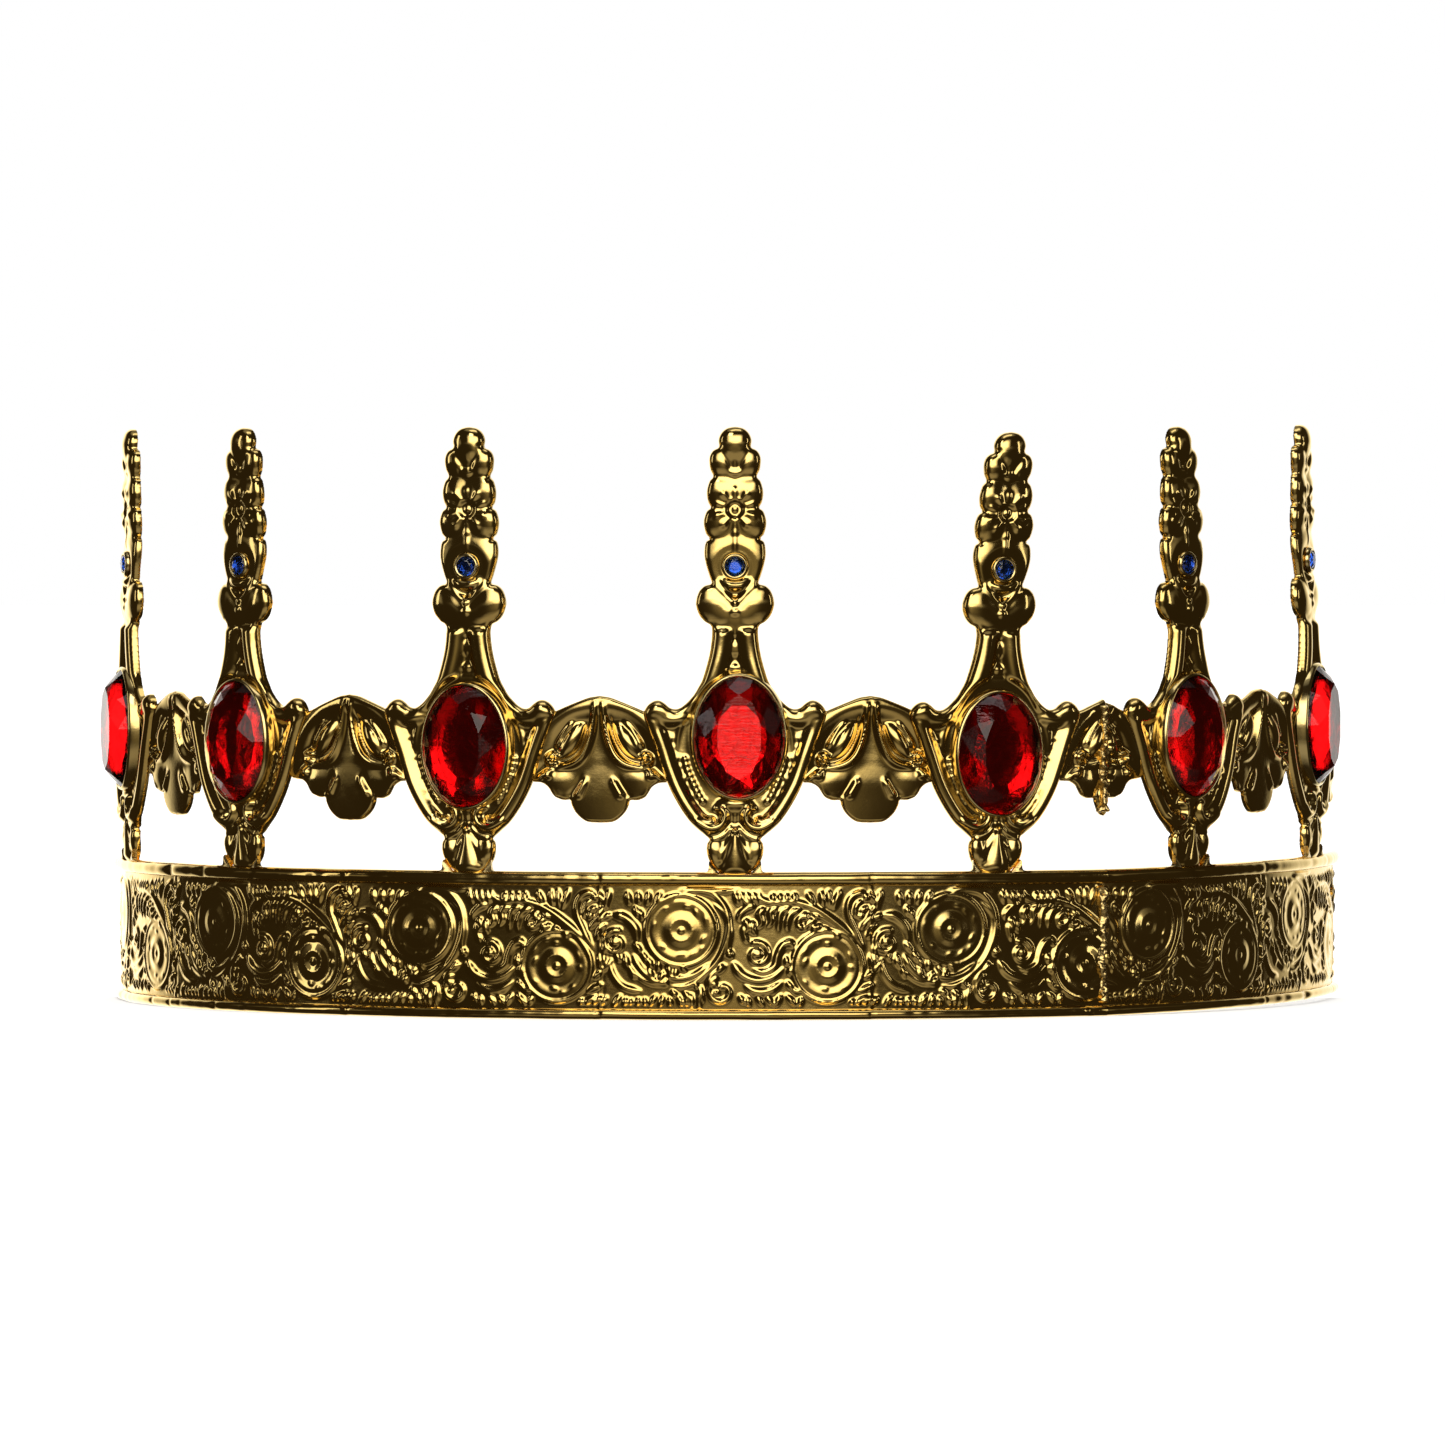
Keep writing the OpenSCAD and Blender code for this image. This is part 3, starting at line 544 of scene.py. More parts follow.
    # middle spiral with two crescent leaves under it
    ridge(spiral(3.3, 9.6, 1.85, 1.5, 120, -1), (0.34, 0.26), 0.85, taper=(0.02, 0.05))
    dome(3.3, 9.6, 0.6, 0.6, 1.05, p=0.9)
    ridge([(-0.4, 8.6), (0.9, 6.7), (3.0, 5.8), (5.3, 6.2), (7.2, 7.7)], 0.5, 0.9, taper=(0.15, 0.3))
    ridge([(1.2, 5.4), (2.9, 4.2), (5.0, 4.3), (7.0, 5.6)], 0.55, 0.9, taper=(0.3, 0.3))
    ridge([(2.6, 7.6), (4.2, 7.0), (5.8, 7.9), (6.2, 9.4), (7.0, 10.9), (8.2, 11.2), (8.7, 10.2)], 0.42, 0.85, taper=(0.2, 0.1))
    ridge([(6.1, 9.6), (7.0, 11.1), (8.4, 11.7)], 0.28, 0.9, taper=(0.2, 0.1))
    ridge([(1.1, 14.0), (1.4, 12.4), (1.9, 11.2)], 0.32, 0.7, taper=(0.2, 0.2))
    # stem over the low rosette and the hanging fan of leaflets
    ridge([(3.4, 19.0), (3.8, 17.8), (5.4, 17.2), (8.6, 17.3), (12.0, 16.2), (15.2, 14.0), (17.9, 11.7), (19.0, 10.9)], 0.4, 0.85, taper=(0.1, 0.15))
    ridge([(10.2, 16.2), (13.4, 14.6), (16.4, 12.3), (18.4, 9.4), (18.7, 7.2)], 0.3, 0.75, taper=(0.2, 0.2))
    for p in [[(3.2, 16.9), (1.6, 16.3), (0.6, 15.2), (0.9, 14.3)], [(4.6, 16.6), (3.6, 15.6), (3.9, 14.4), (3.1, 13.3)], [(1.4, 14.9), (1.9, 13.6), (1.5, 12.6)],
              [(6.6, 16.6), (5.2, 15.9), (5.3, 14.6), (4.6, 13.5)], [(2.7, 14.6), (2.6, 13.4), (3.1, 12.4)], [(8.4, 16.7), (6.8, 15.9), (6.4, 14.4), (6.3, 12.9)],
              [(9.9, 16.4), (8.2, 15.6), (7.6, 14.2), (7.7, 12.9)], [(10.9, 15.7), (9.5, 14.9), (9.0, 13.7)], [(11.9, 14.8), (10.6, 14.0), (10.3, 13.1)], [(12.8, 13.9), (11.8, 13.4), (11.3, 12.6)]]:
        ridge(p, (0.5, 0.3), 0.9, taper=(0.2, 0.3))
    for u, z, a in [(10.4, 15.0, 60), (11.6, 13.6, 70), (12.0, 15.2, 55), (13.4, 13.3, 60), (9.6, 13.6, 60), (15.0, 12.4, 50)]:
        dome(u, z, 0.3, 0.6, 0.95, p=0.9, ang=a)
    # curl at the top right and the leaves beside it
    ridge([(19.0, 10.2), (17.7, 12.9), (16.6, 15.6), (16.9, 17.7), (18.4, 18.6), (19.4, 18.0)], 0.36, 0.85, taper=(0.2, 0.1))
    ridge([(17.6, 14.8), (17.9, 16.8), (19.0, 17.6)], 0.28, 0.8, taper=(0.2, 0.2))
    for p in [[(18.4, 13.2), (19.8, 15.0), (20.9, 17.2)], [(18.1, 14.9), (19.0, 15.6)], [(18.3, 15.8), (19.6, 16.6)], [(19.6, 12.9), (20.9, 14.2)]]:
        ridge(p, 0.34, 0.9, taper=(0.2, 0.3), straight=True)
    # left spiral (it returns on the right of the repeat)
    ridge(spiral(-17.6, 11.3, 1.9, 1.5, 60, 1), (0.34, 0.26), 0.9, taper=(0.02, 0.05))
    dome(-17.6, 11.3, 0.62, 0.62, 1.1, p=0.9)
    ridge([(-18.2, 15.4), (-16.2, 15.0), (-14.6, 13.4), (-14.3, 11.2)], 0.5, 0.9, taper=(0.2, 0.3))
    ridge([(-20.2, 9.6), (-19.4, 7.4), (-18.0, 9.0)], 0.3, 0.75, taper=(0.2, 0.2))
    ridge([(-20.6, 13.6), (-19.6, 14.8), (-18.2, 15.4)], 0.34, 0.8, taper=(0.3, 0.1))
    for u, z, a in [(-14.4, 15.9, 15), (-13.7, 15.4, 15), (-19.3, 10.2, 10), (-16.0, 8.4, 20), (-17.2, 9.2, 30), (-20.1, 12.6, -20), (-19.0, 17.0, 10)]:
        dome(u, z, 0.28, 0.75, 0.85, p=0.9, ang=a)
    # short leaves along the two edges
    for u, a, l in [(-19.6, 25, 0.9), (-18.7, -15, 1.2), (-15.6, 10, 0.9), (-14.1, 5, 0.8), (-12.7, -10, 0.9), (-11.2, -25, 0.9),
                    (0.3, 20, 1.0), (1.2, 20, 1.0), (2.1, 25, 1.0), (3.0, 25, 0.9), (5.6, 5, 0.6), (6.6, 5, 0.6), (7.6, 5, 0.6), (8.7, 5, 0.7),
                    (11.1, 25, 1.0), (12.8, 10, 1.1), (13.8, 5, 1.2), (14.9, -20, 1.4), (19.3, 0, 0.5)]:
        dome(u, 18.1 - 0.3 * l, 0.33, l, 0.9, p=0.95, ang=a)
    for u, a, l in [(-19.3, -40, 0.7), (-17.3, -35, 0.9), (-16.1, -10, 0.5), (-15.3, 0, 0.4), (-14.2, -5, 0.5), (-13.2, 10, 0.5), (-12.0, -35, 0.9), (-10.7, -20, 0.8),
                    (-9.5, 10, 0.6), (-8.0, 25, 0.8), (-7.1, 10, 0.7), (-6.3, 0, 0.9), (-5.3, 5, 1.3), (1.9, 10, 0.7), (3.6, 35, 0.9), (5.1, 40, 0.9), (6.3, -30, 0.9),
                    (8.2, 40, 1.0), (9.6, -20, 0.7), (18.6, -60, 1.1), (19.6, -70, 1.0), (17.2, -10, 0.4), (18.2, 0, 0.4), (19.2, 5, 0.4)]:
        dome(u, 2.45 + 0.45 * l, 0.3, l, 0.85, p=0.95, ang=a)
    for u, z, a, l in [(8.1, 5.0, 40, 0.8), (9.0, 4.2, 70, 0.8), (7.6, 8.6, 10, 0.7), (8.0, 7.2, 0, 0.6), (19.2, 4.6, -65, 1.3), (19.8, 6.6, -50, 0.9), (20.6, 8.8, 10, 0.9),
                       (-4.9, 3.8, 10, 1.2), (-5.7, 5.0, 30, 0.6), (1.0, 3.0, 30, 0.7), (-7.0, 3.6, 35, 0.8), (-8.9, 3.9, 40, 0.6), (2.6, 13.4, 15, 0.8), (1.7, 17.2, 35, 0.9)]:
        dome(u, z, 0.3, l, 0.85, p=0.95, ang=a)
    f.soften(1)
    return 0.47 * f.H


# ---------------------------------------------------------------- materials
def node_group_base(name):
    m = bpy.data.materials.new(name)
    m.use_nodes = True
    nt = m.node_tree
    nt.nodes.clear()
    out = nt.nodes.new("ShaderNodeOutputMaterial")
    b = nt.nodes.new("ShaderNodeBsdfPrincipled")
    nt.links.new(b.outputs[0], out.inputs[0])
    return m, nt, b


def noise(nt, coord, scale, detail=4.0, rough=0.6, distort=0.0):
    n = nt.nodes.new("ShaderNodeTexNoise")
    n.inputs["Scale"].default_value = scale
    n.inputs["Detail"].default_value = detail
    n.inputs["Roughness"].default_value = rough
    n.inputs["Distortion"].default_value = distort
    nt.links.new(coord, n.inputs["Vector"])
    return n.outputs["Fac"]


def ramp(nt, fac, stops):
    r = nt.nodes.new("ShaderNodeValToRGB")
    els = r.color_ramp.elements
    while len(els) < len(stops):
        els.new(0.5)
    for e, (p, c) in zip(els, stops):
        e.position = p
        e.color = (*c, 1) if len(c) == 3 else c
    nt.links.new(fac, r.inputs[0])
    return r.outputs[0]


def mix(nt, fac, a, b, blend="MIX"):
    m = nt.nodes.new("ShaderNodeMix")
    m.data_type = "RGBA"
    m.blend_type = blend
    for sock, val in ((m.inputs[0], fac), (m.inputs[6], a), (m.inputs[7], b)):
        if hasattr(val, "is_output") or isinstance(val, bpy.types.NodeSocket):
            nt.links.new(val, sock)
        elif isinstance(val, (int, float)):
            sock.default_value = val
        else:
            sock.default_value = (*val, 1)
    return m.outputs[2]


def maths(nt, op, a, b=None):
    m = nt.nodes.new("ShaderNodeMath")
    m.operation = op
    for sock, val in zip(m.inputs, (a, b)):
        if val is None:
            continue
        if isinstance(val, (int, float)):
            sock.default_value = val
        else:
            nt.links.new(val, sock)
    return m.outputs[0]


def remap(nt, v, a, b, c, d):
    m = nt.nodes.new("ShaderNodeMapRange")
    for i, x in enumerate((a, b, c, d)):
        m.inputs[i + 1].default_value = x
    nt.links.new(v, m.inputs[0])
    return m.outputs[0]


def gold(name, bright, deep, patina_and_shade, rough=0.14, recess_shade=True, bumpy=0.12):
    """Gold plate over pressed brass: colour drifts from patch to patch, with random darker, rougher patches; the
    relief's recesses are darkened brown as painted shade; with fine scratches.
    """
    m, nt, b = node_group_base(name)
    tc = nt.nodes.new("ShaderNodeTexCoord").outputs["Object"]
    big = noise(nt, tc, 38, 3, 0.5)
    mid = noise(nt, tc, 260, 5, 0.65, 0.4)
    fine = noise(nt, tc, 2600, 3, 0.6)
    col = mix(nt, ramp(nt, big, [(0.36, (0, 0, 0)), (0.66, (1, 1, 1))]), deep, bright)
    spots = ramp(nt, mid, [(0.56, (0, 0, 0)), (0.74, (1, 1, 1))])
    col = mix(nt, maths(nt, "MULTIPLY", spots, 0.16), col, patina_and_shade)
    if recess_shade:
        # painted shade: the hollows of the relief, taken from the stored recess depth, are darkened towards the brown
        # colour and made a little rougher
        at = nt.nodes.new("ShaderNodeAttribute")
        at.attribute_name = "recess_shade"
        recess_shade_mask = remap(nt, at.outputs["Fac"], -0.02, -0.22, 0.0, 1.0)
        recess_shade_mask = maths(nt, "MULTIPLY", recess_shade_mask, remap(nt, mid, 0.3, 0.7, 0.45, 1.0))
        col = mix(nt, maths(nt, "MULTIPLY", recess_shade_mask, 0.5), col, patina_and_shade)
    nt.links.new(col, b.inputs["Base Color"])
    b.inputs["Metallic"].default_value = 1.0
    r = remap(nt, noise(nt, tc, 120, 5, 0.6), 0.3, 0.7, rough * 0.6, rough * 1.5)
    r = maths(nt, "ADD", r, maths(nt, "MULTIPLY", spots, 0.07))
    if recess_shade:
        r = maths(nt, "ADD", r, maths(nt, "MULTIPLY", recess_shade_mask, 0.08))
    nt.links.new(r, b.inputs["Roughness"])
    sc = nt.nodes.new("ShaderNodeMapping")
    sc.inputs["Scale"].default_value = (90, 90, 1500)
    sc.inputs["Rotation"].default_value = (0.3, 0.2, 0.1)
    nt.links.new(tc, sc.inputs["Vector"])
    scratch = noise(nt, sc.outputs[0], 1.0, 4, 0.7)
    h = maths(nt, "ADD", maths(nt, "MULTIPLY", noise(nt, tc, 420, 2, 0.5), 1.0), maths(nt, "MULTIPLY", fine, 0.22))
    h = maths(nt, "ADD", h, maths(nt, "MULTIPLY", scratch, 0.18))
    bp = nt.nodes.new("ShaderNodeBump")
    bp.inputs["Strength"].default_value = bumpy
    bp.inputs["Distance"].default_value = 0.0006
    nt.links.new(h, bp.inputs["Height"])
    nt.links.new(bp.outputs[0], b.inputs["Normal"])
    return m


GOLD_BAND = gold("gold_plate_band", (0.9, 0.66, 0.24), (0.78, 0.54, 0.17), (0.36, 0.22, 0.06), 0.09, bumpy=0.03)
GOLD_POINT = gold("gold_plate_points", (0.92, 0.68, 0.26), (0.8, 0.57, 0.19), (0.36, 0.22, 0.06), 0.075, bumpy=0.03)
GOLD_CUP = gold("gold_plate_cups", (0.9, 0.72, 0.34), (0.8, 0.6, 0.24), (0.4, 0.25, 0.08), 0.12, recess_shade=False, bumpy=0.04)
SOLDER = gold("solder_plated", (0.9, 0.68, 0.3), (0.7, 0.48, 0.17), (0.2, 0.12, 0.03), 0.2, recess_shade=False, bumpy=0.3)


def stone(name, tint, rough, ior):
    m, nt, b = node_group_base(name)
    tc = nt.nodes.new("ShaderNodeTexCoord").outputs["Object"]
    drift = noise(nt, tc, 160, 3, 0.5)
    nt.links.new(mix(nt, remap(nt, drift, 0.35, 0.65, 0, 1), tint, tuple(0.86 * c for c in tint)), b.inputs["Base Color"])
    b.inputs["Transmission Weight"].default_value = 1.0
    b.inputs["IOR"].default_value = ior
    b.inputs["Specular IOR Level"].default_value = 0.3
    sc = nt.nodes.new("ShaderNodeMapping")
    sc.inputs["Scale"].default_value = (180, 180, 2600)
    sc.inputs["Rotation"].default_value = (0.1, 0.5, 0.2)
    nt.links.new(tc, sc.inputs["Vector"])
    s = noise(nt, sc.outputs[0], 1.0, 3, 0.7)
    nt.links.new(remap(nt, s, 0.5, 0.8, rough, rough + 0.05), b.inputs["Roughness"])
    bp = nt.nodes.new("ShaderNodeBump")
    bp.inputs["Strength"].default_value = 0.08
    bp.inputs["Distance"].default_value = 0.0003
    nt.links.new(maths(nt, "ADD", s, noise(nt, tc, 500, 2, 0.5)), bp.inputs["Height"])
    nt.links.new(bp.outputs[0], b.inputs["Normal"])
    return m


def foil(name, a, c):
    m, nt, b = node_group_base(name)
    tc = nt.nodes.new("ShaderNodeTexCoord").outputs["Object"]
    n = noise(nt, tc, 700, 4, 0.6, 0.6)
    nt.links.new(mix(nt, remap(nt, n, 0.3, 0.7, 0, 1), a, c), b.inputs["Base Color"])
    b.inputs["Metallic"].default_value = 1.0
    nt.links.new(remap(nt, n, 0.3, 0.7, 0.03, 0.09), b.inputs["Roughness"])
    bp = nt.nodes.new("ShaderNodeBump")
    bp.inputs["Strength"].default_value = 0.14
    bp.inputs["Distance"].default_value = 0.0004
    nt.links.new(n, bp.inputs["Height"])
    nt.links.new(bp.outputs[0], b.inputs["Normal"])
    return m


RED_STONE = stone("red_acrylic", (0.9, 0.022, 0.035), 0.012, 1.49)
RED_FOIL = foil("red_foil", (0.97, 0.2, 0.18), (0.85, 0.08, 0.09))
BLUE_STONE = stone("blue_glass", (0.05, 0.17, 0.8), 0.015, 1.6)
BLUE_FOIL = foil("blue_foil", (0.75, 0.85, 0.98), (0.45, 0.6, 0.95))


def finish_piece(ob, mats, nodes):
    ob.data.materials.clear()
    for m in mats:
        ob.data.materials.append(m)
    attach(ob, "root")
    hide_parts(*nodes)
    return ob


# ---------------------------------------------------------------- points
PU, PZ = grid(-14.0, 14.0, 20.5, 87.3)
PH = point_relief(PU, PZ)
for i, s in enumerate(STATIONS):
    H = PH + 0.035 * wobble(PU, PZ, 9.0, 40 + i) * smooth(0.1, 0.8, PH)
    if DROP[i]:
        H = seat(H, PU, PZ, DROP[i])
    bend = lambda u, z, i=i: 0.10 * wobble(u, z, 40.0, 90 + i)
    ob = sheet_mesh(f"point_{i+1}_relief", PU, PZ, H, on_wall(s, LEAN[i], TILT[i], SHIFT[i], TALL[i]), 0.72, 0.5, POINT_OUTLINE, (0.8, 0.6), bend)
    finish_piece(ob, [GOLD_POINT], [f"point_{i+1}"])

# ---------------------------------------------------------------- leaf swags
LU, LZ = grid(-12.0, 12.0, 28.4, 47.9)
LH = leaf_relief(LU, LZ)


def leaf(name, node, s, seed=0):
    """A whole leaf whose die is centred at arc length s."""
    H = LH + 0.04 * wobble(LU, LZ, 8.0, 300 + seed) * smooth(0.1, 0.8, LH)
    ob = sheet_mesh(name, LU, LZ, H, on_wall(s), 0.0, 0.45, LEAF_OUTLINE.copy(), (0.5, 0.5), lambda u, z: 0.08 * wobble(u, z, 30.0, 200 + seed))
    return finish_piece(ob, [GOLD_POINT], [node])


leaf("leaf_1_2_relief", "leaf_1_2", -2.5 * PITCH, seed=1)
leaf("leaf_2_3_relief", "leaf_2_3", -1.5 * PITCH, seed=2)
leaf("leaf_3_4_relief", "leaf_3_4", -0.5 * PITCH, seed=3)
leaf("leaf_4_5_relief", "leaf_4_5", 0.5 * PITCH, seed=4)
leaf("leaf_6_7_relief", "leaf_6_7", 2.5 * PITCH - LAP, seed=5)


def seam_leaf(name, node, s_at, centre, u0, u1, seed):
    """Half of a seam leaf, placed on the arc that it stands on."""
    wall = on_wall(s_at)
    r = np.random.default_rng(seed)
    k = np.arange(27, 49, 0.7)
    tear = r.uniform(-0.45, 0.45, len(k))
    clipped = LEAF_OUTLINE.copy()
    n = len(clipped)
    dense = []
    for i in range(n):
        p, q = clipped[i], clipped[(i + 1) % n]
        for t in (0, 0.25, 0.5, 0.75):
            dense.append(p + (q - p) * t)
    dense = np.array(dense)
    lim_lo = u0 + np.interp(dense[:, 1], k, tear) if u0 > -12 else np.full(len(dense), -99.0)
    lim_hi = u1 + np.interp(dense[:, 1], k, tear) if u1 < 12 else np.full(len(dense), 99.0)
    keep = (dense[:, 0] >= lim_lo) & (dense[:, 0] <= lim_hi)
    rest = dense[keep]
    # roll so that the kept run is contiguous
    idx = np.where(keep)[0]
    gap = np.where(np.diff(idx) > 1)[0]
    if len(gap):
        rest = np.vstack([dense[idx[gap[0] + 1:]], dense[idx[: gap[0] + 1]]])
    z0, z1 = rest[-1][1], rest[0][1]
    cut = u0 if u0 > -12 else u1
    zz = np.linspace(z0, z1, 40)[1:-1]
    edge = np.stack([cut + np.interp(zz, k, tear), zz], -1)
    out = np.vstack([rest, edge])
    H = LH * (1 - 0.25 * smooth(2.5, 0.0, np.abs(LU - cut))) + 0.35 * wobble(LU, LZ, 3.4, seed) * smooth(3.2, 0.0, np.abs(LU - cut))
    shift = centre - s_at
    place = lambda u, z, n: wall(u + shift, z, n)
    ob = sheet_mesh(name, LU, LZ, H, place, 0.0, 0.45, out, (0.5, 0.5), lambda u, z: 0.12 * wobble(u, z, 18.0, seed + 5))
    return finish_piece(ob, [GOLD_POINT], [node])


seam_leaf("leaf_5_seam_relief", "leaf_5_seam", SEAM_S - 0.01, 1.5 * PITCH, -12, SEAM_S - 1.5 * PITCH + 0.3, 21)
seam_leaf("leaf_6_seam_relief", "leaf_6_seam", SEAM_S + 0.01, 1.5 * PITCH - LAP, SEAM_S - 1.5 * PITCH + LAP - 0.2, 12, 22)
seam_leaf("half_leaf_left_relief", "half_leaf_left_end", LEFT_END + 3, LEFT_END, 0.05, 12, 23)
seam_leaf("half_leaf_right_relief", "half_leaf_right_end", RIGHT_END - 3, RIGHT_END, -12, -0.05, 24)

# ---------------------------------------------------------------- band
NU = 216
NZ = 96
bu = np.linspace(-PITCH / 2, PITCH / 2, NU, endpoint=False)
bz = np.linspace(BAND_LO - 0.3, BAND_HI + 0.3, NZ)
BU, BZ = np.meshgrid(bu, bz)
BH = scroll_relief(BU, BZ)
CELL_S = PITCH / NU


def band(name, node, s0, s1, phase, seed):
    cols = np.arange(math.ceil(s0 / CELL_S - 1e-6), math.floor(s1 / CELL_S + 1e-6) + 1)
    S = cols * CELL_S
    S = np.concatenate([[s0], S[(S > s0 + 0.02) & (S < s1 - 0.02)], [s1]])
    rel = np.mod((S - phase) / CELL_S + NU / 2, NU)
    i0 = np.floor(rel).astype(int) % NU
    i1 = (i0 + 1) % NU
    t = rel - np.floor(rel)
    H = BH[:, i0] * (1 - t) + BH[:, i1] * t
    U, Z = np.meshgrid(S, bz)
    H = H * (1 + 0.08 * wobble(U, Z, 25.0, seed))
    # marks where one strike of the die meets the next
    for k in range(-4, 5):
        c = phase + (k + 0.5) * PITCH
        H = H + 0.09 * np.exp(-((U - c) / 0.18) ** 2) - 0.05 * np.exp(-((U - c - 0.5) / 0.3) ** 2)
    drop = lambda u, z: 0.07 * wobble(u, z, 45.0, seed + 1)
    # the sheet's long edges run in under the rims
    ob = sheet_mesh(name, U, Z, H, on_curve, 0.12, 0.38, None, (0.01, 0.0), drop)
    return ob


def punch(ob, s):
    """The tie hole is a real hole through the sheet."""
    bpy.ops.mesh.primitive_cylinder_add(vertices=40, radius=0.0012, depth=0.012)
    c = bpy.context.object
    x, y, r, h = arc_at(s)
    c.location = Vector((OX + (x + r * math.sin(h)) * 1e-3, OY + (y - r * math.cos(h)) * 1e-3, 0.016))
    c.rotation_euler = (math.radians(90), 0, h)
    md = ob.modifiers.new("tie", "BOOLEAN")
    md.object, md.operation, md.solver = c, "DIFFERENCE", "EXACT"
    bpy.context.view_layer.objects.active = ob
    bpy.ops.object.modifier_apply(modifier="tie")
    bpy.data.objects.remove(c)


ob = band("band_long_relief", "band_long_strip", LEFT_END, SEAM_S, 0.0, 61)
punch(ob, LEFT_END + 3)
finish_piece(ob, [GOLD_BAND], ["band_long_strip"])
ob = band("band_short_relief", "band_short_strip", SEAM_S + 0.001, RIGHT_END, -LAP, 62)
punch(ob, RIGHT_END - 3)
finish_piece(ob, [GOLD_BAND], ["band_short_strip"])


# ---------------------------------------------------------------- rims
def rim(name, node, s0, s1, z_mid, half, seed, phase):
    """Rolled half-round edge with the small dents and step marks that the die leaves."""
    step = 0.4
    S = np.linspace(s0, s1, int((s1 - s0) / step) + 1)
    a = np.radians(np.linspace(-90, 90, 13))
    prof_n = np.concatenate([0.3 + 0.98 * np.cos(a), [-0.55, -0.55]])
    prof_z = np.concatenate([half * np.sin(a), [half, -half]])
    k = len(prof_n)
    T = np.tile(S[:, None], (1, k))
    r = np.random.default_rng(seed)
    dn = 0.035 * wobble(S, 0 * S, 22.0, seed) + 0.02 * wobble(S, 0 * S, 4.0, seed + 3)
    dz = 0.02 * wobble(S, 0 * S, 16.0, seed + 9)
    dent = np.zeros_like(S)
    for c in r.uniform(s0, s1, int((s1 - s0) / 14)):
        dent -= r.uniform(0.05, 0.16) * np.exp(-((S - c) / r.uniform(0.4, 1.6)) ** 2)
    for q in range(-4, 5):
        c = phase + (q + 0.5) * PITCH
        dent -= 0.16 * np.exp(-((S - c) / 0.25) ** 2)
        dz = dz + 0.05 * (smooth(c - 0.15, c + 0.15, S) - 0.5) * np.exp(-((S - c) / 6) ** 2)
    front = np.concatenate([np.cos(a), [0, 0]])
    n = prof_n[None] + (dn + dent)[:, None] * front[None]
    z = z_mid + prof_z[None] * np.ones((len(S), 1)) + dz[:, None] * np.where(np.abs(prof_z) < half * 0.98, 1, 0)[None]
    v = on_curve(T, z, n).reshape(-1, 3)
    faces = []
    for i in range(len(S) - 1):
        for j in range(k):
            j2 = (j + 1) % k
            faces.append((i * k + j, (i + 1) * k + j, (i + 1) * k + j2, i * k + j2))
    m = (len(S) - 1) * k
    faces.append(tuple(range(k)))
    faces.append(tuple(m + j for j in range(k))[::-1])
    ob = make_object(name, v, faces, sharp=40)
    # the dents' depth is stored so that the gold material paints shade into the dents
    add_attribute(ob, "recess_shade", np.repeat(dent * 1.2, k))
    return finish_piece(ob, [GOLD_BAND], [node])


rim("top_rim_long_roll", "top_rim_long", LEFT_END, SEAM_S, 20.65, 1.05, 71, 0.0)
rim("top_rim_short_roll", "top_rim_short", SEAM_S + 0.001, RIGHT_END, 20.65, 1.05, 72, -LAP)
rim("bottom_rim_long_roll", "bottom_rim_long", LEFT_END, SEAM_S, 0.8, 0.8, 73, 0.0)
rim("bottom_rim_short_roll", "bottom_rim_short", SEAM_S + 0.001, RIGHT_END, 0.8, 0.8, 74, -LAP)


# ---------------------------------------------------------------- stones and their settings
def oval_ring(a, b, n, t0=0.0):
    t = np.arange(n) * 2 * math.pi / n + t0
    return np.stack([a * np.sin(t), b * np.cos(t)], -1)


def brilliant(name, place, z0, a, b, n0, heights, table, mid, m, mats, back=0.5):
    """A cut stone: table, star, kite and girdle facets in front, and a shallow foil-backed pavilion behind."""
    h_back, h_gird0, h_gird1, h_mid, h_top = heights
    T = oval_ring(table[0], table[1], m, 0)
    M = oval_ring(mid[0], mid[1], m, math.pi / m)
    G = oval_ring(a, b, 2 * m, 0)
    C = oval_ring(a * back, b * back, m, math.pi / m)
    v, rows = [], {}

    def put(key, ring, h):
        rows[key] = len(v)
        for u, z in ring:
            v.append((u, z0 + z, n0 + h))

    put("T", T, h_top)
    put("M", M, h_mid)
    put("G", G, h_gird1)
    put("L", G, h_gird0)
    put("C", C, h_back)
    f, mat = [], []

    def face(*ids, k=0):
        f.append(ids)
        mat.append(k)

    t, mm, g, l, c = (rows[k] for k in "TMGLC")
    face(*[t + i for i in range(m)])
    for i in range(m):
        j = (i + 1) % m
        face(t + i, mm + i, t + j)
        face(t + j, mm + i, g + (2 * i + 2) % (2 * m), mm + j)
        face(mm + i, g + 2 * i, g + 2 * i + 1)
        face(mm + i, g + 2 * i + 1, g + (2 * i + 2) % (2 * m))
    for i in range(2 * m):
        j = (i + 1) % (2 * m)
        face(g + i, l + i, l + j, g + j)
    for i in range(m):
        j = (i + 1) % m
        face(l + 2 * i, c + i, l + 2 * i + 1, k=1)
        face(l + 2 * i + 1, c + i, l + (2 * i + 2) % (2 * m), k=1)
        face(c + i, c + j, l + (2 * i + 2) % (2 * m), k=1)
    face(*[c + i for i in range(m)], k=1)
    v = np.array(v)
    w = place(v[:, 0], v[:, 1], v[:, 2])
    ob = make_object(name, w, f, smooth_faces=False)
    bpy.context.view_layer.objects.active = ob
    ob.select_set(True)
    bpy.ops.object.mode_set(mode="EDIT")
    bpy.ops.mesh.select_all(action="SELECT")
    bpy.ops.mesh.normals_make_consistent(inside=False)
    bpy.ops.object.mode_set(mode="OBJECT")
    ob.select_set(False)
    for mt in mats:
        ob.data.materials.append(mt)
    ob.data.polygons.foreach_set("material_index", np.array(mat, np.int32))
    return ob


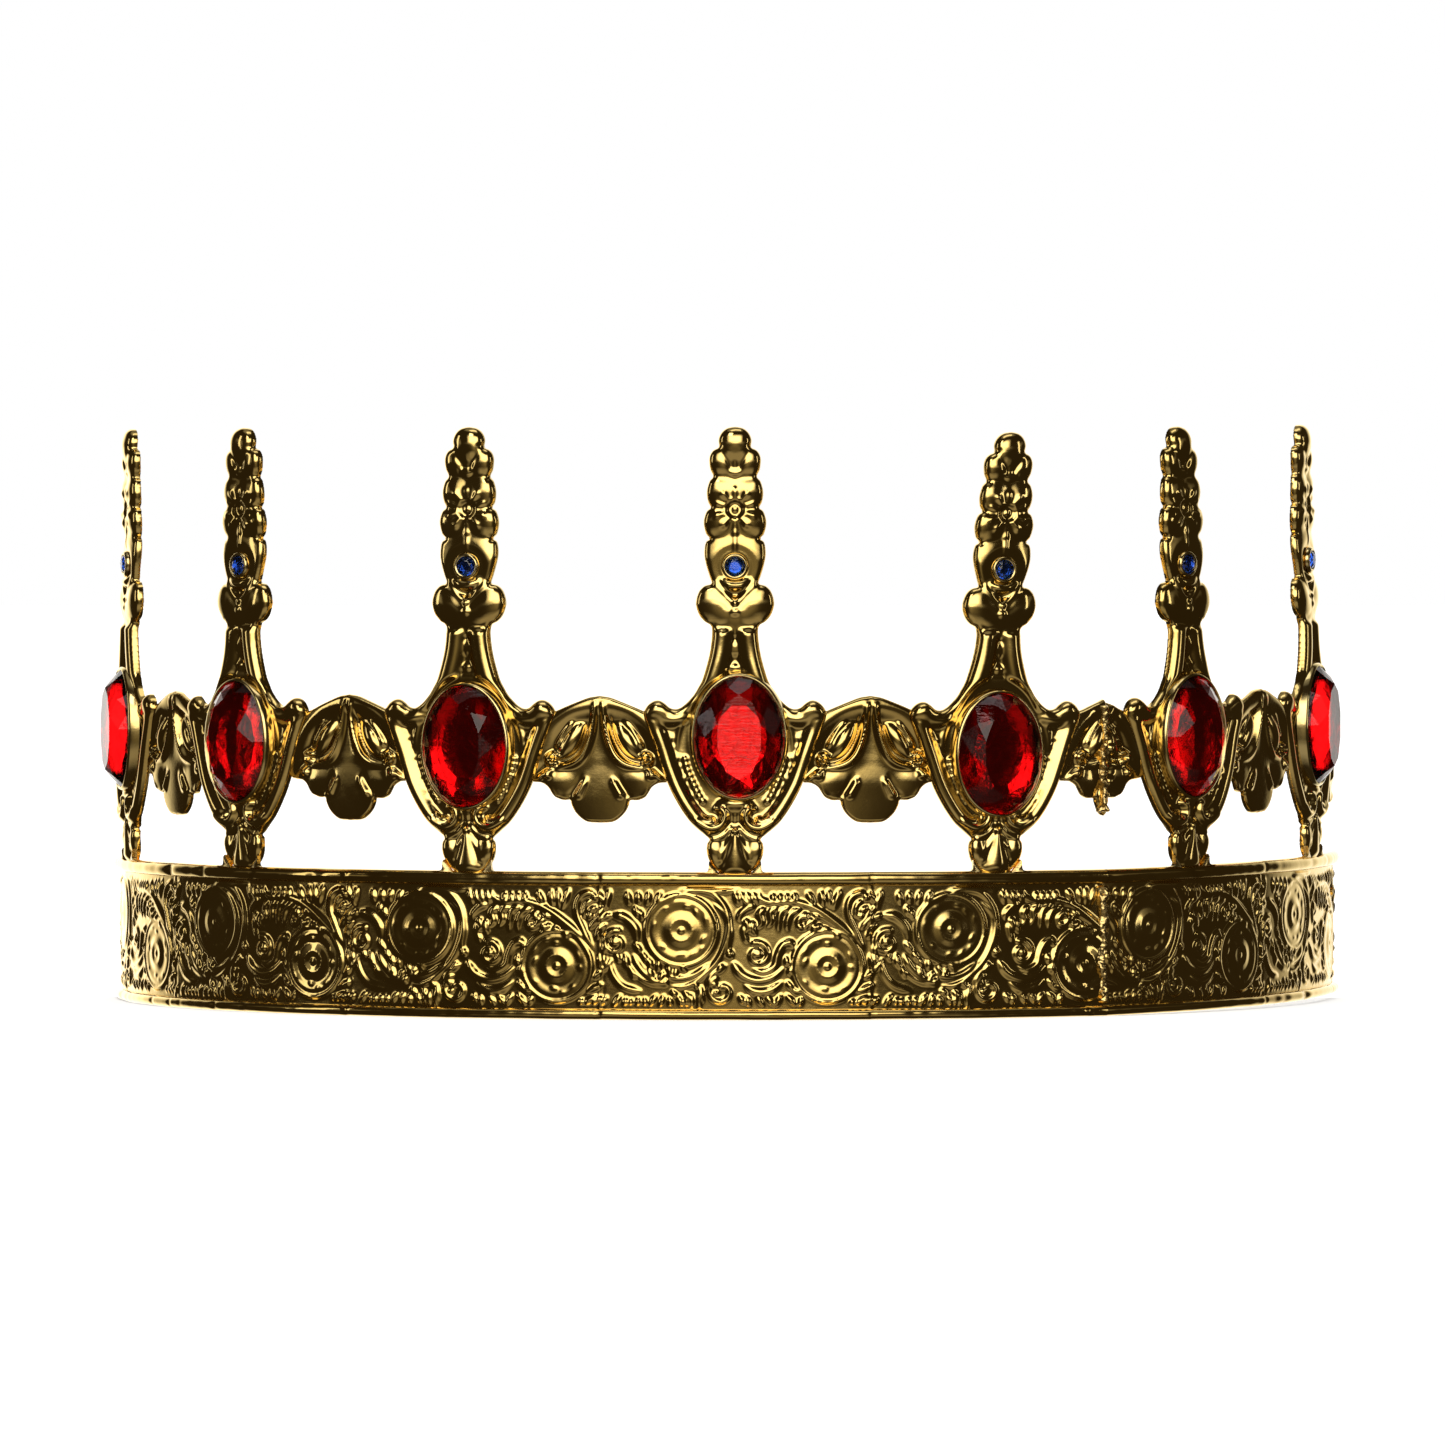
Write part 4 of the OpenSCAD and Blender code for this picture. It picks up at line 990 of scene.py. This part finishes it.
def swept_oval(name, place, z0, a, b, prof, n=96):
    """A ring whose section is a list of (outward from the oval, height)."""
    k = len(prof)
    t = np.arange(n) * 2 * math.pi / n
    v = []
    for ang in t:
        su, cz = math.sin(ang), math.cos(ang)
        nn = np.array([su / a, cz / b])
        nn /= np.linalg.norm(nn)
        for o, h in prof:
            v.append((a * su + nn[0] * o, z0 + b * cz + nn[1] * o, h))
    v = np.array(v)
    f = [(i * k + j, ((i + 1) % n) * k + j, ((i + 1) % n) * k + (j + 1) % k, i * k + (j + 1) % k) for i in range(n) for j in range(k)]
    ob = make_object(name, place(v[:, 0], v[:, 1], v[:, 2]), f, sharp=50)
    bpy.context.view_layer.objects.active = ob
    ob.select_set(True)
    bpy.ops.object.mode_set(mode="EDIT")
    bpy.ops.mesh.select_all(action="SELECT")
    bpy.ops.mesh.normals_make_consistent(inside=False)
    bpy.ops.object.mode_set(mode="OBJECT")
    ob.select_set(False)
    return ob


for i, s in enumerate(STATIONS):
    cx, cy, r0, h0 = arc_at(s)

    def stiff(u, z, n, cx=cx, cy=cy, r0=r0, h0=h0, i=i):
        """Rigid things stand on the wall's tangent plane, and don't bend with it."""
        zm = float(np.mean(z))
        uu = u + LEAN[i] * max((zm - 45) / 42, 0) ** 1.4 + SHIFT[i]
        z = z + (22 + (zm - 22) * TALL[i] - zm) + (float(lift(STATIONS[i] + SHIFT[i])) if STATIONS[i] > SEAM_S else 0)
        nn = n + TILT[i] * max((zm - 22) / 65, 0) ** 1.3
        bx, by = cx + r0 * math.sin(h0), cy - r0 * math.cos(h0)
        x = bx + uu * math.cos(h0) + nn * math.sin(h0)
        y = by + uu * math.sin(h0) - nn * math.cos(h0)
        return np.stack([OX + x * 1e-3, OY + y * 1e-3, z * 1e-3 + 0 * x], -1)

    lower = lambda u, z, n, i=i, stiff=stiff: stiff(u + SLIDE[i], z, n)
    cup = swept_oval(f"cup_{i+1}_bezel", lower, RED["z"] - DROP[i], RED["a"], RED["b"],
                     [(-0.35, 1.0), (-0.12, 2.02), (0.06, 2.16), (0.24, 2.12), (0.42, 1.8), (0.6, 1.15), (0.72, 0.55), (0.3, 0.5)], 96)
    finish_piece(cup, [GOLD_CUP], [f"stone_cup_{i+1}"])
    red = brilliant(f"red_stone_{i+1}_cut", lower, RED["z"] - DROP[i], RED["a"] - 0.02, RED["b"] - 0.02, 1.1, (-0.1, 0.55, 0.85, 2.25, 3.3),
                    (3.35, 6.2), (5.05, 7.6), 10, [RED_STONE, RED_FOIL], 0.54)
    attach(red, "root")
    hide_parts(f"red_stone_{i+1}")
    col = swept_oval(f"collet_{i+1}_ring", stiff, BLUE_Z, 1.5, 1.5,
                     [(-0.1, 0.9), (-0.08, 1.48), (0.08, 1.6), (0.26, 1.56), (0.42, 1.4), (0.5, 1.05), (0.3, 0.85)], 56)
    finish_piece(col, [GOLD_CUP], [f"collet_{i+1}"])
    blue = brilliant(f"blue_stone_{i+1}_cut", stiff, BLUE_Z, 1.45, 1.45, 0.86, (0.0, 0.4, 0.5, 0.8, 1.0),
                     (0.75, 0.75), (1.15, 1.15), 8, [BLUE_STONE, BLUE_FOIL], 0.55)
    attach(blue, "root")
    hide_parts(f"blue_stone_{i+1}")


# ---------------------------------------------------------------- solder
def lumps(name, node, s0, u0, u1, z0, z1, base, height, seed):
    """An irregular run of solder, laid on by hand."""
    U, Z = grid(u0, u1, z0, z1, 0.16)
    r = np.random.default_rng(seed)
    f = Field(U, Z)
    mid = (u0 + u1) / 2
    zz = z0 + 0.5
    while zz < z1 - 0.4:
        a = r.uniform(0.35, 0.95)
        f.dome(mid + r.uniform(-0.5, 0.5), zz, a, a * r.uniform(0.9, 2.4), height * r.uniform(0.45, 1.0), 0.8, ang=r.uniform(-35, 35), k=0.2)
        zz += r.uniform(0.5, 1.7)
    f.H += 0.1 * wobble(U, Z, 1.1, seed) + 0.16 * wobble(U, Z, 3.1, seed + 2)
    half_w = (u1 - u0) / 2 - 0.1
    zz = np.linspace(z0 + 0.15, z1 - 0.15, 30)
    k = np.arange(z0 - 2, z1 + 3, 1.9)
    wl = half_w * np.interp(zz, k, r.uniform(0.35, 1.0, len(k)))
    wr = half_w * np.interp(zz, k, r.uniform(0.35, 1.0, len(k)))
    out = np.vstack([np.stack([mid + wr, zz], -1), np.stack([mid - wl, zz], -1)[::-1]])
    out = spline(out, closed=True, sub=3)
    ob = sheet_mesh(name, U, Z, f.H, on_wall(s0), base, 0.5, out, (0.5, 0.45))
    return finish_piece(ob, [SOLDER], [node])


lumps("band_seam_solder_run", "band_seam_solder", SEAM_S - 0.3, -1.3, 1.3, 1.8, 19.4, 0.5, 0.7, 5)
lumps("leaf_seam_solder_run", "leaf_seam_solder", SEAM_S - 0.2, -1.3, 1.3, 30.0, 46.0, 0.5, 0.95, 8)

# webs of solder in the corners between each foot and the rim
wv, wf = [], []
for i, s in enumerate(STATIONS):
    place = on_wall(s, shift=SHIFT[i])
    for m in (1, -1):
        t = np.linspace(0, 1, 9)
        lo = [(m * 2.2, 21.4)]
        curve = [(m * (3.75 + 1.9 * (1 - math.sqrt(max(0.0, 1 - (1 - q) ** 2)))), 21.55 + 1.75 * (1 - math.sqrt(max(0.0, 1 - q**2)))) for q in t]
        ring = lo + curve
        n = len(ring)
        b0 = len(wv)
        for nn, inset in ((0.3, 0.0), (0.95, 0.0), (1.15, 0.25)):
            cu, cz = np.mean([p[0] for p in ring]), np.mean([p[1] for p in ring])
            for u, z in ring:
                wv.append(place(np.array(u + (cu - u) * inset), np.array(z + (cz - z) * inset), np.array(nn)))
        for lv in (0, 1):
            for j in range(n):
                j2 = (j + 1) % n
                wf.append((b0 + lv * n + j, b0 + lv * n + j2, b0 + (lv + 1) * n + j2, b0 + (lv + 1) * n + j))
        wf.append(tuple(b0 + j for j in range(n))[::-1])
        wf.append(tuple(b0 + 2 * n + j for j in range(n)))
webs = make_object("foot_solder_webs", np.array(wv), wf, sharp=45)
bpy.context.view_layer.objects.active = webs
webs.select_set(True)
bpy.ops.object.mode_set(mode="EDIT")
bpy.ops.mesh.select_all(action="SELECT")
bpy.ops.mesh.normals_make_consistent(inside=False)
bpy.ops.object.mode_set(mode="OBJECT")
webs.select_set(False)
finish_piece(webs, [SOLDER], ["foot_solder_joints"])

# ---------------------------------------------------------------- studio
bpy.ops.mesh.primitive_plane_add(size=1, location=(0, 0.4, 0))
floor = bpy.context.object
floor.name = "floor"
floor.scale = (12, 12, 1)
fm, fnt, fb = node_group_base("floor_paper")
ftc = fnt.nodes.new("ShaderNodeTexCoord").outputs["Object"]
fnt.links.new(mix(fnt, noise(fnt, ftc, 30, 3), (0.93, 0.93, 0.93), (0.95, 0.95, 0.95)), fb.inputs["Base Color"])
fb.inputs["Roughness"].default_value = 0.9
fb.inputs["Specular IOR Level"].default_value = 0.1
fb.inputs["Emission Color"].default_value = (1, 1, 1, 1)
fb.inputs["Emission Strength"].default_value = 0.35
floor.data.materials.append(fm)
floor.visible_glossy = False
floor.visible_transmission = False

world = bpy.data.worlds.new("studio")
bpy.context.scene.world = world
world.use_nodes = True
wn = world.node_tree
wn.nodes.clear()
wout = wn.nodes.new("ShaderNodeOutputWorld")
bg_paper = wn.nodes.new("ShaderNodeBackground")
bg_paper.inputs[0].default_value = (1, 1, 1, 1)
bg_paper.inputs[1].default_value = 1.0
bg_env = wn.nodes.new("ShaderNodeBackground")
wtc = wn.nodes.new("ShaderNodeTexCoord").outputs["Generated"]
sep = wn.nodes.new("ShaderNodeSeparateXYZ")
wn.links.new(wtc, sep.inputs[0])
wx, wy, wz = sep.outputs
# what the polished metal sees: bright paper behind, a dark room at both sides, a wide box over the camera, a dim glow under it
def span(v, a0, a1, b0, b1):
    """1 between a1 and b0, soft down to 0 at a0 and b1."""
    return maths(wn, "MULTIPLY", remap(wn, v, a0, a1, 0.0, 1.0), remap(wn, v, b0, b1, 1.0, 0.0))


def times(*v):
    out = v[0]
    for x in v[1:]:
        out = maths(wn, "MULTIPLY", out, x)
    return out


forward = remap(wn, wy, -0.25, -0.55, 0.0, 1.0)
paper = mix(wn, remap(wn, wx, -0.6, 0.6, 0.0, 1.0), (1.85, 1.8, 1.68), (1.15, 1.12, 1.05))
env = mix(wn, remap(wn, wy, 0.55, 0.84, 0.0, 1.0), (0.024, 0.0175, 0.009), paper)
off_x = maths(wn, "DIVIDE", wx, 0.27)
off_z = maths(wn, "DIVIDE", maths(wn, "ADD", wz, 0.06), 0.3)
axis = maths(wn, "ADD", times(off_x, off_x), times(off_z, off_z))
axis = times(forward, maths(wn, "POWER", 2.718, maths(wn, "MULTIPLY", axis, -1.0)))
env = mix(wn, axis, env, (0.2, 0.172, 0.115))
near_x = maths(wn, "DIVIDE", wx, 0.3)
near_z = maths(wn, "DIVIDE", maths(wn, "ADD", wz, -0.07), 0.06)
core = maths(wn, "ADD", times(near_x, near_x), times(near_z, near_z))
core = times(forward, maths(wn, "POWER", 2.718, maths(wn, "MULTIPLY", core, -1.0)))
env = mix(wn, core, env, (2.5, 2.35, 2.0))
box = times(forward, span(wz, 0.07, 0.17, 0.46, 0.62), span(wx, -0.54, -0.32, 0.3, 0.5))
env = mix(wn, box, env, (2.5, 2.38, 2.1))
table = times(forward, span(wz, -0.9, -0.65, -0.5, -0.32), span(wx, -0.6, -0.4, 0.4, 0.6))
env = mix(wn, table, env, (0.3, 0.27, 0.22))
strips = maths(wn, "MAXIMUM", times(span(wx, -0.995, -0.96, -0.9, -0.85), span(wz, -0.05, 0.05, 0.2, 0.35)), times(span(wx, 0.88, 0.91, 0.95, 0.98), span(wz, -0.05, 0.05, 0.2, 0.35)))
env = mix(wn, times(strips, remap(wn, wy, 0.2, 0.0, 0.0, 1.0)), env, (0.2, 0.185, 0.16))
env = mix(wn, span(wz, 0.84, 0.92, 1.5, 2.0), env, (0.22, 0.21, 0.19))
lp = wn.nodes.new("ShaderNodeLightPath")
thru_x = maths(wn, "DIVIDE", wx, 0.17)
thru_z = maths(wn, "DIVIDE", maths(wn, "ADD", wz, 0.02), 0.2)
thru = maths(wn, "ADD", times(thru_x, thru_x), times(thru_z, thru_z))
thru = times(forward, maths(wn, "POWER", 2.718, maths(wn, "MULTIPLY", thru, -1.0)), lp.outputs["Is Transmission Ray"])
env = mix(wn, thru, env, (1.2, 1.05, 0.95))
thru_back = times(remap(wn, wy, 0.45, 0.65, 0.0, 1.0), lp.outputs["Is Transmission Ray"])
env = mix(wn, thru_back, env, (1.9, 1.8, 1.6))
wn.links.new(env, bg_env.inputs[0])
bg_env.inputs[1].default_value = 1.0
plain = maths(wn, "MAXIMUM", lp.outputs["Is Camera Ray"], lp.outputs["Is Diffuse Ray"])
ms = wn.nodes.new("ShaderNodeMixShader")
wn.links.new(plain, ms.inputs[0])
wn.links.new(bg_env.outputs[0], ms.inputs[1])
wn.links.new(bg_paper.outputs[0], ms.inputs[2])
wn.links.new(ms.outputs[0], wout.inputs[0])


def lamp(name, loc, aim, w, h, watts, color=(1, 1, 1)):
    d = bpy.data.lights.new(name, "AREA")
    d.shape = "RECTANGLE"
    d.size, d.size_y, d.energy, d.color = w, h, watts, color
    o = bpy.data.objects.new(name, d)
    o.location = loc
    o.rotation_euler = (Vector(aim) - Vector(loc)).to_track_quat("-Z", "Y").to_euler()
    bpy.context.scene.collection.objects.link(o)
    return o


AIM = (0, -0.02, 0.045)
lamp("key_box", (-0.35, -0.9, 0.85), AIM, 0.34, 0.3, 0.9, (1.0, 0.97, 0.92))
lamp("top_box", (0.05, -0.15, 1.1), AIM, 0.7, 0.35, 0.8)
lamp("left_strip", (-1.0, -0.25, 0.3), AIM, 0.14, 0.6, 0.35, (1.0, 0.98, 0.95))
lamp("right_strip", (1.0, -0.45, 0.25), AIM, 0.12, 0.5, 0.3, (1.0, 0.98, 0.95))

cam_d = bpy.data.cameras.new("photo_camera")
cam_d.type = "PERSP"
cam_d.lens = 297
cam_d.sensor_width = 36
cam_d.clip_end = 50
cam = bpy.data.objects.new("photo_camera", cam_d)
DIST, ELEV = 1.745, math.radians(1.1)
target = Vector((OX - 0.00183, OY, 0.0436))
cam.location = target + Vector((0, -DIST * math.cos(ELEV), DIST * math.sin(ELEV)))
cam.rotation_euler = (target - cam.location).to_track_quat("-Z", "Y").to_euler()
bpy.context.scene.collection.objects.link(cam)
bpy.context.scene.camera = cam
bpy.context.scene.view_settings.view_transform = "Standard"
bpy.context.scene.view_settings.look = "None"
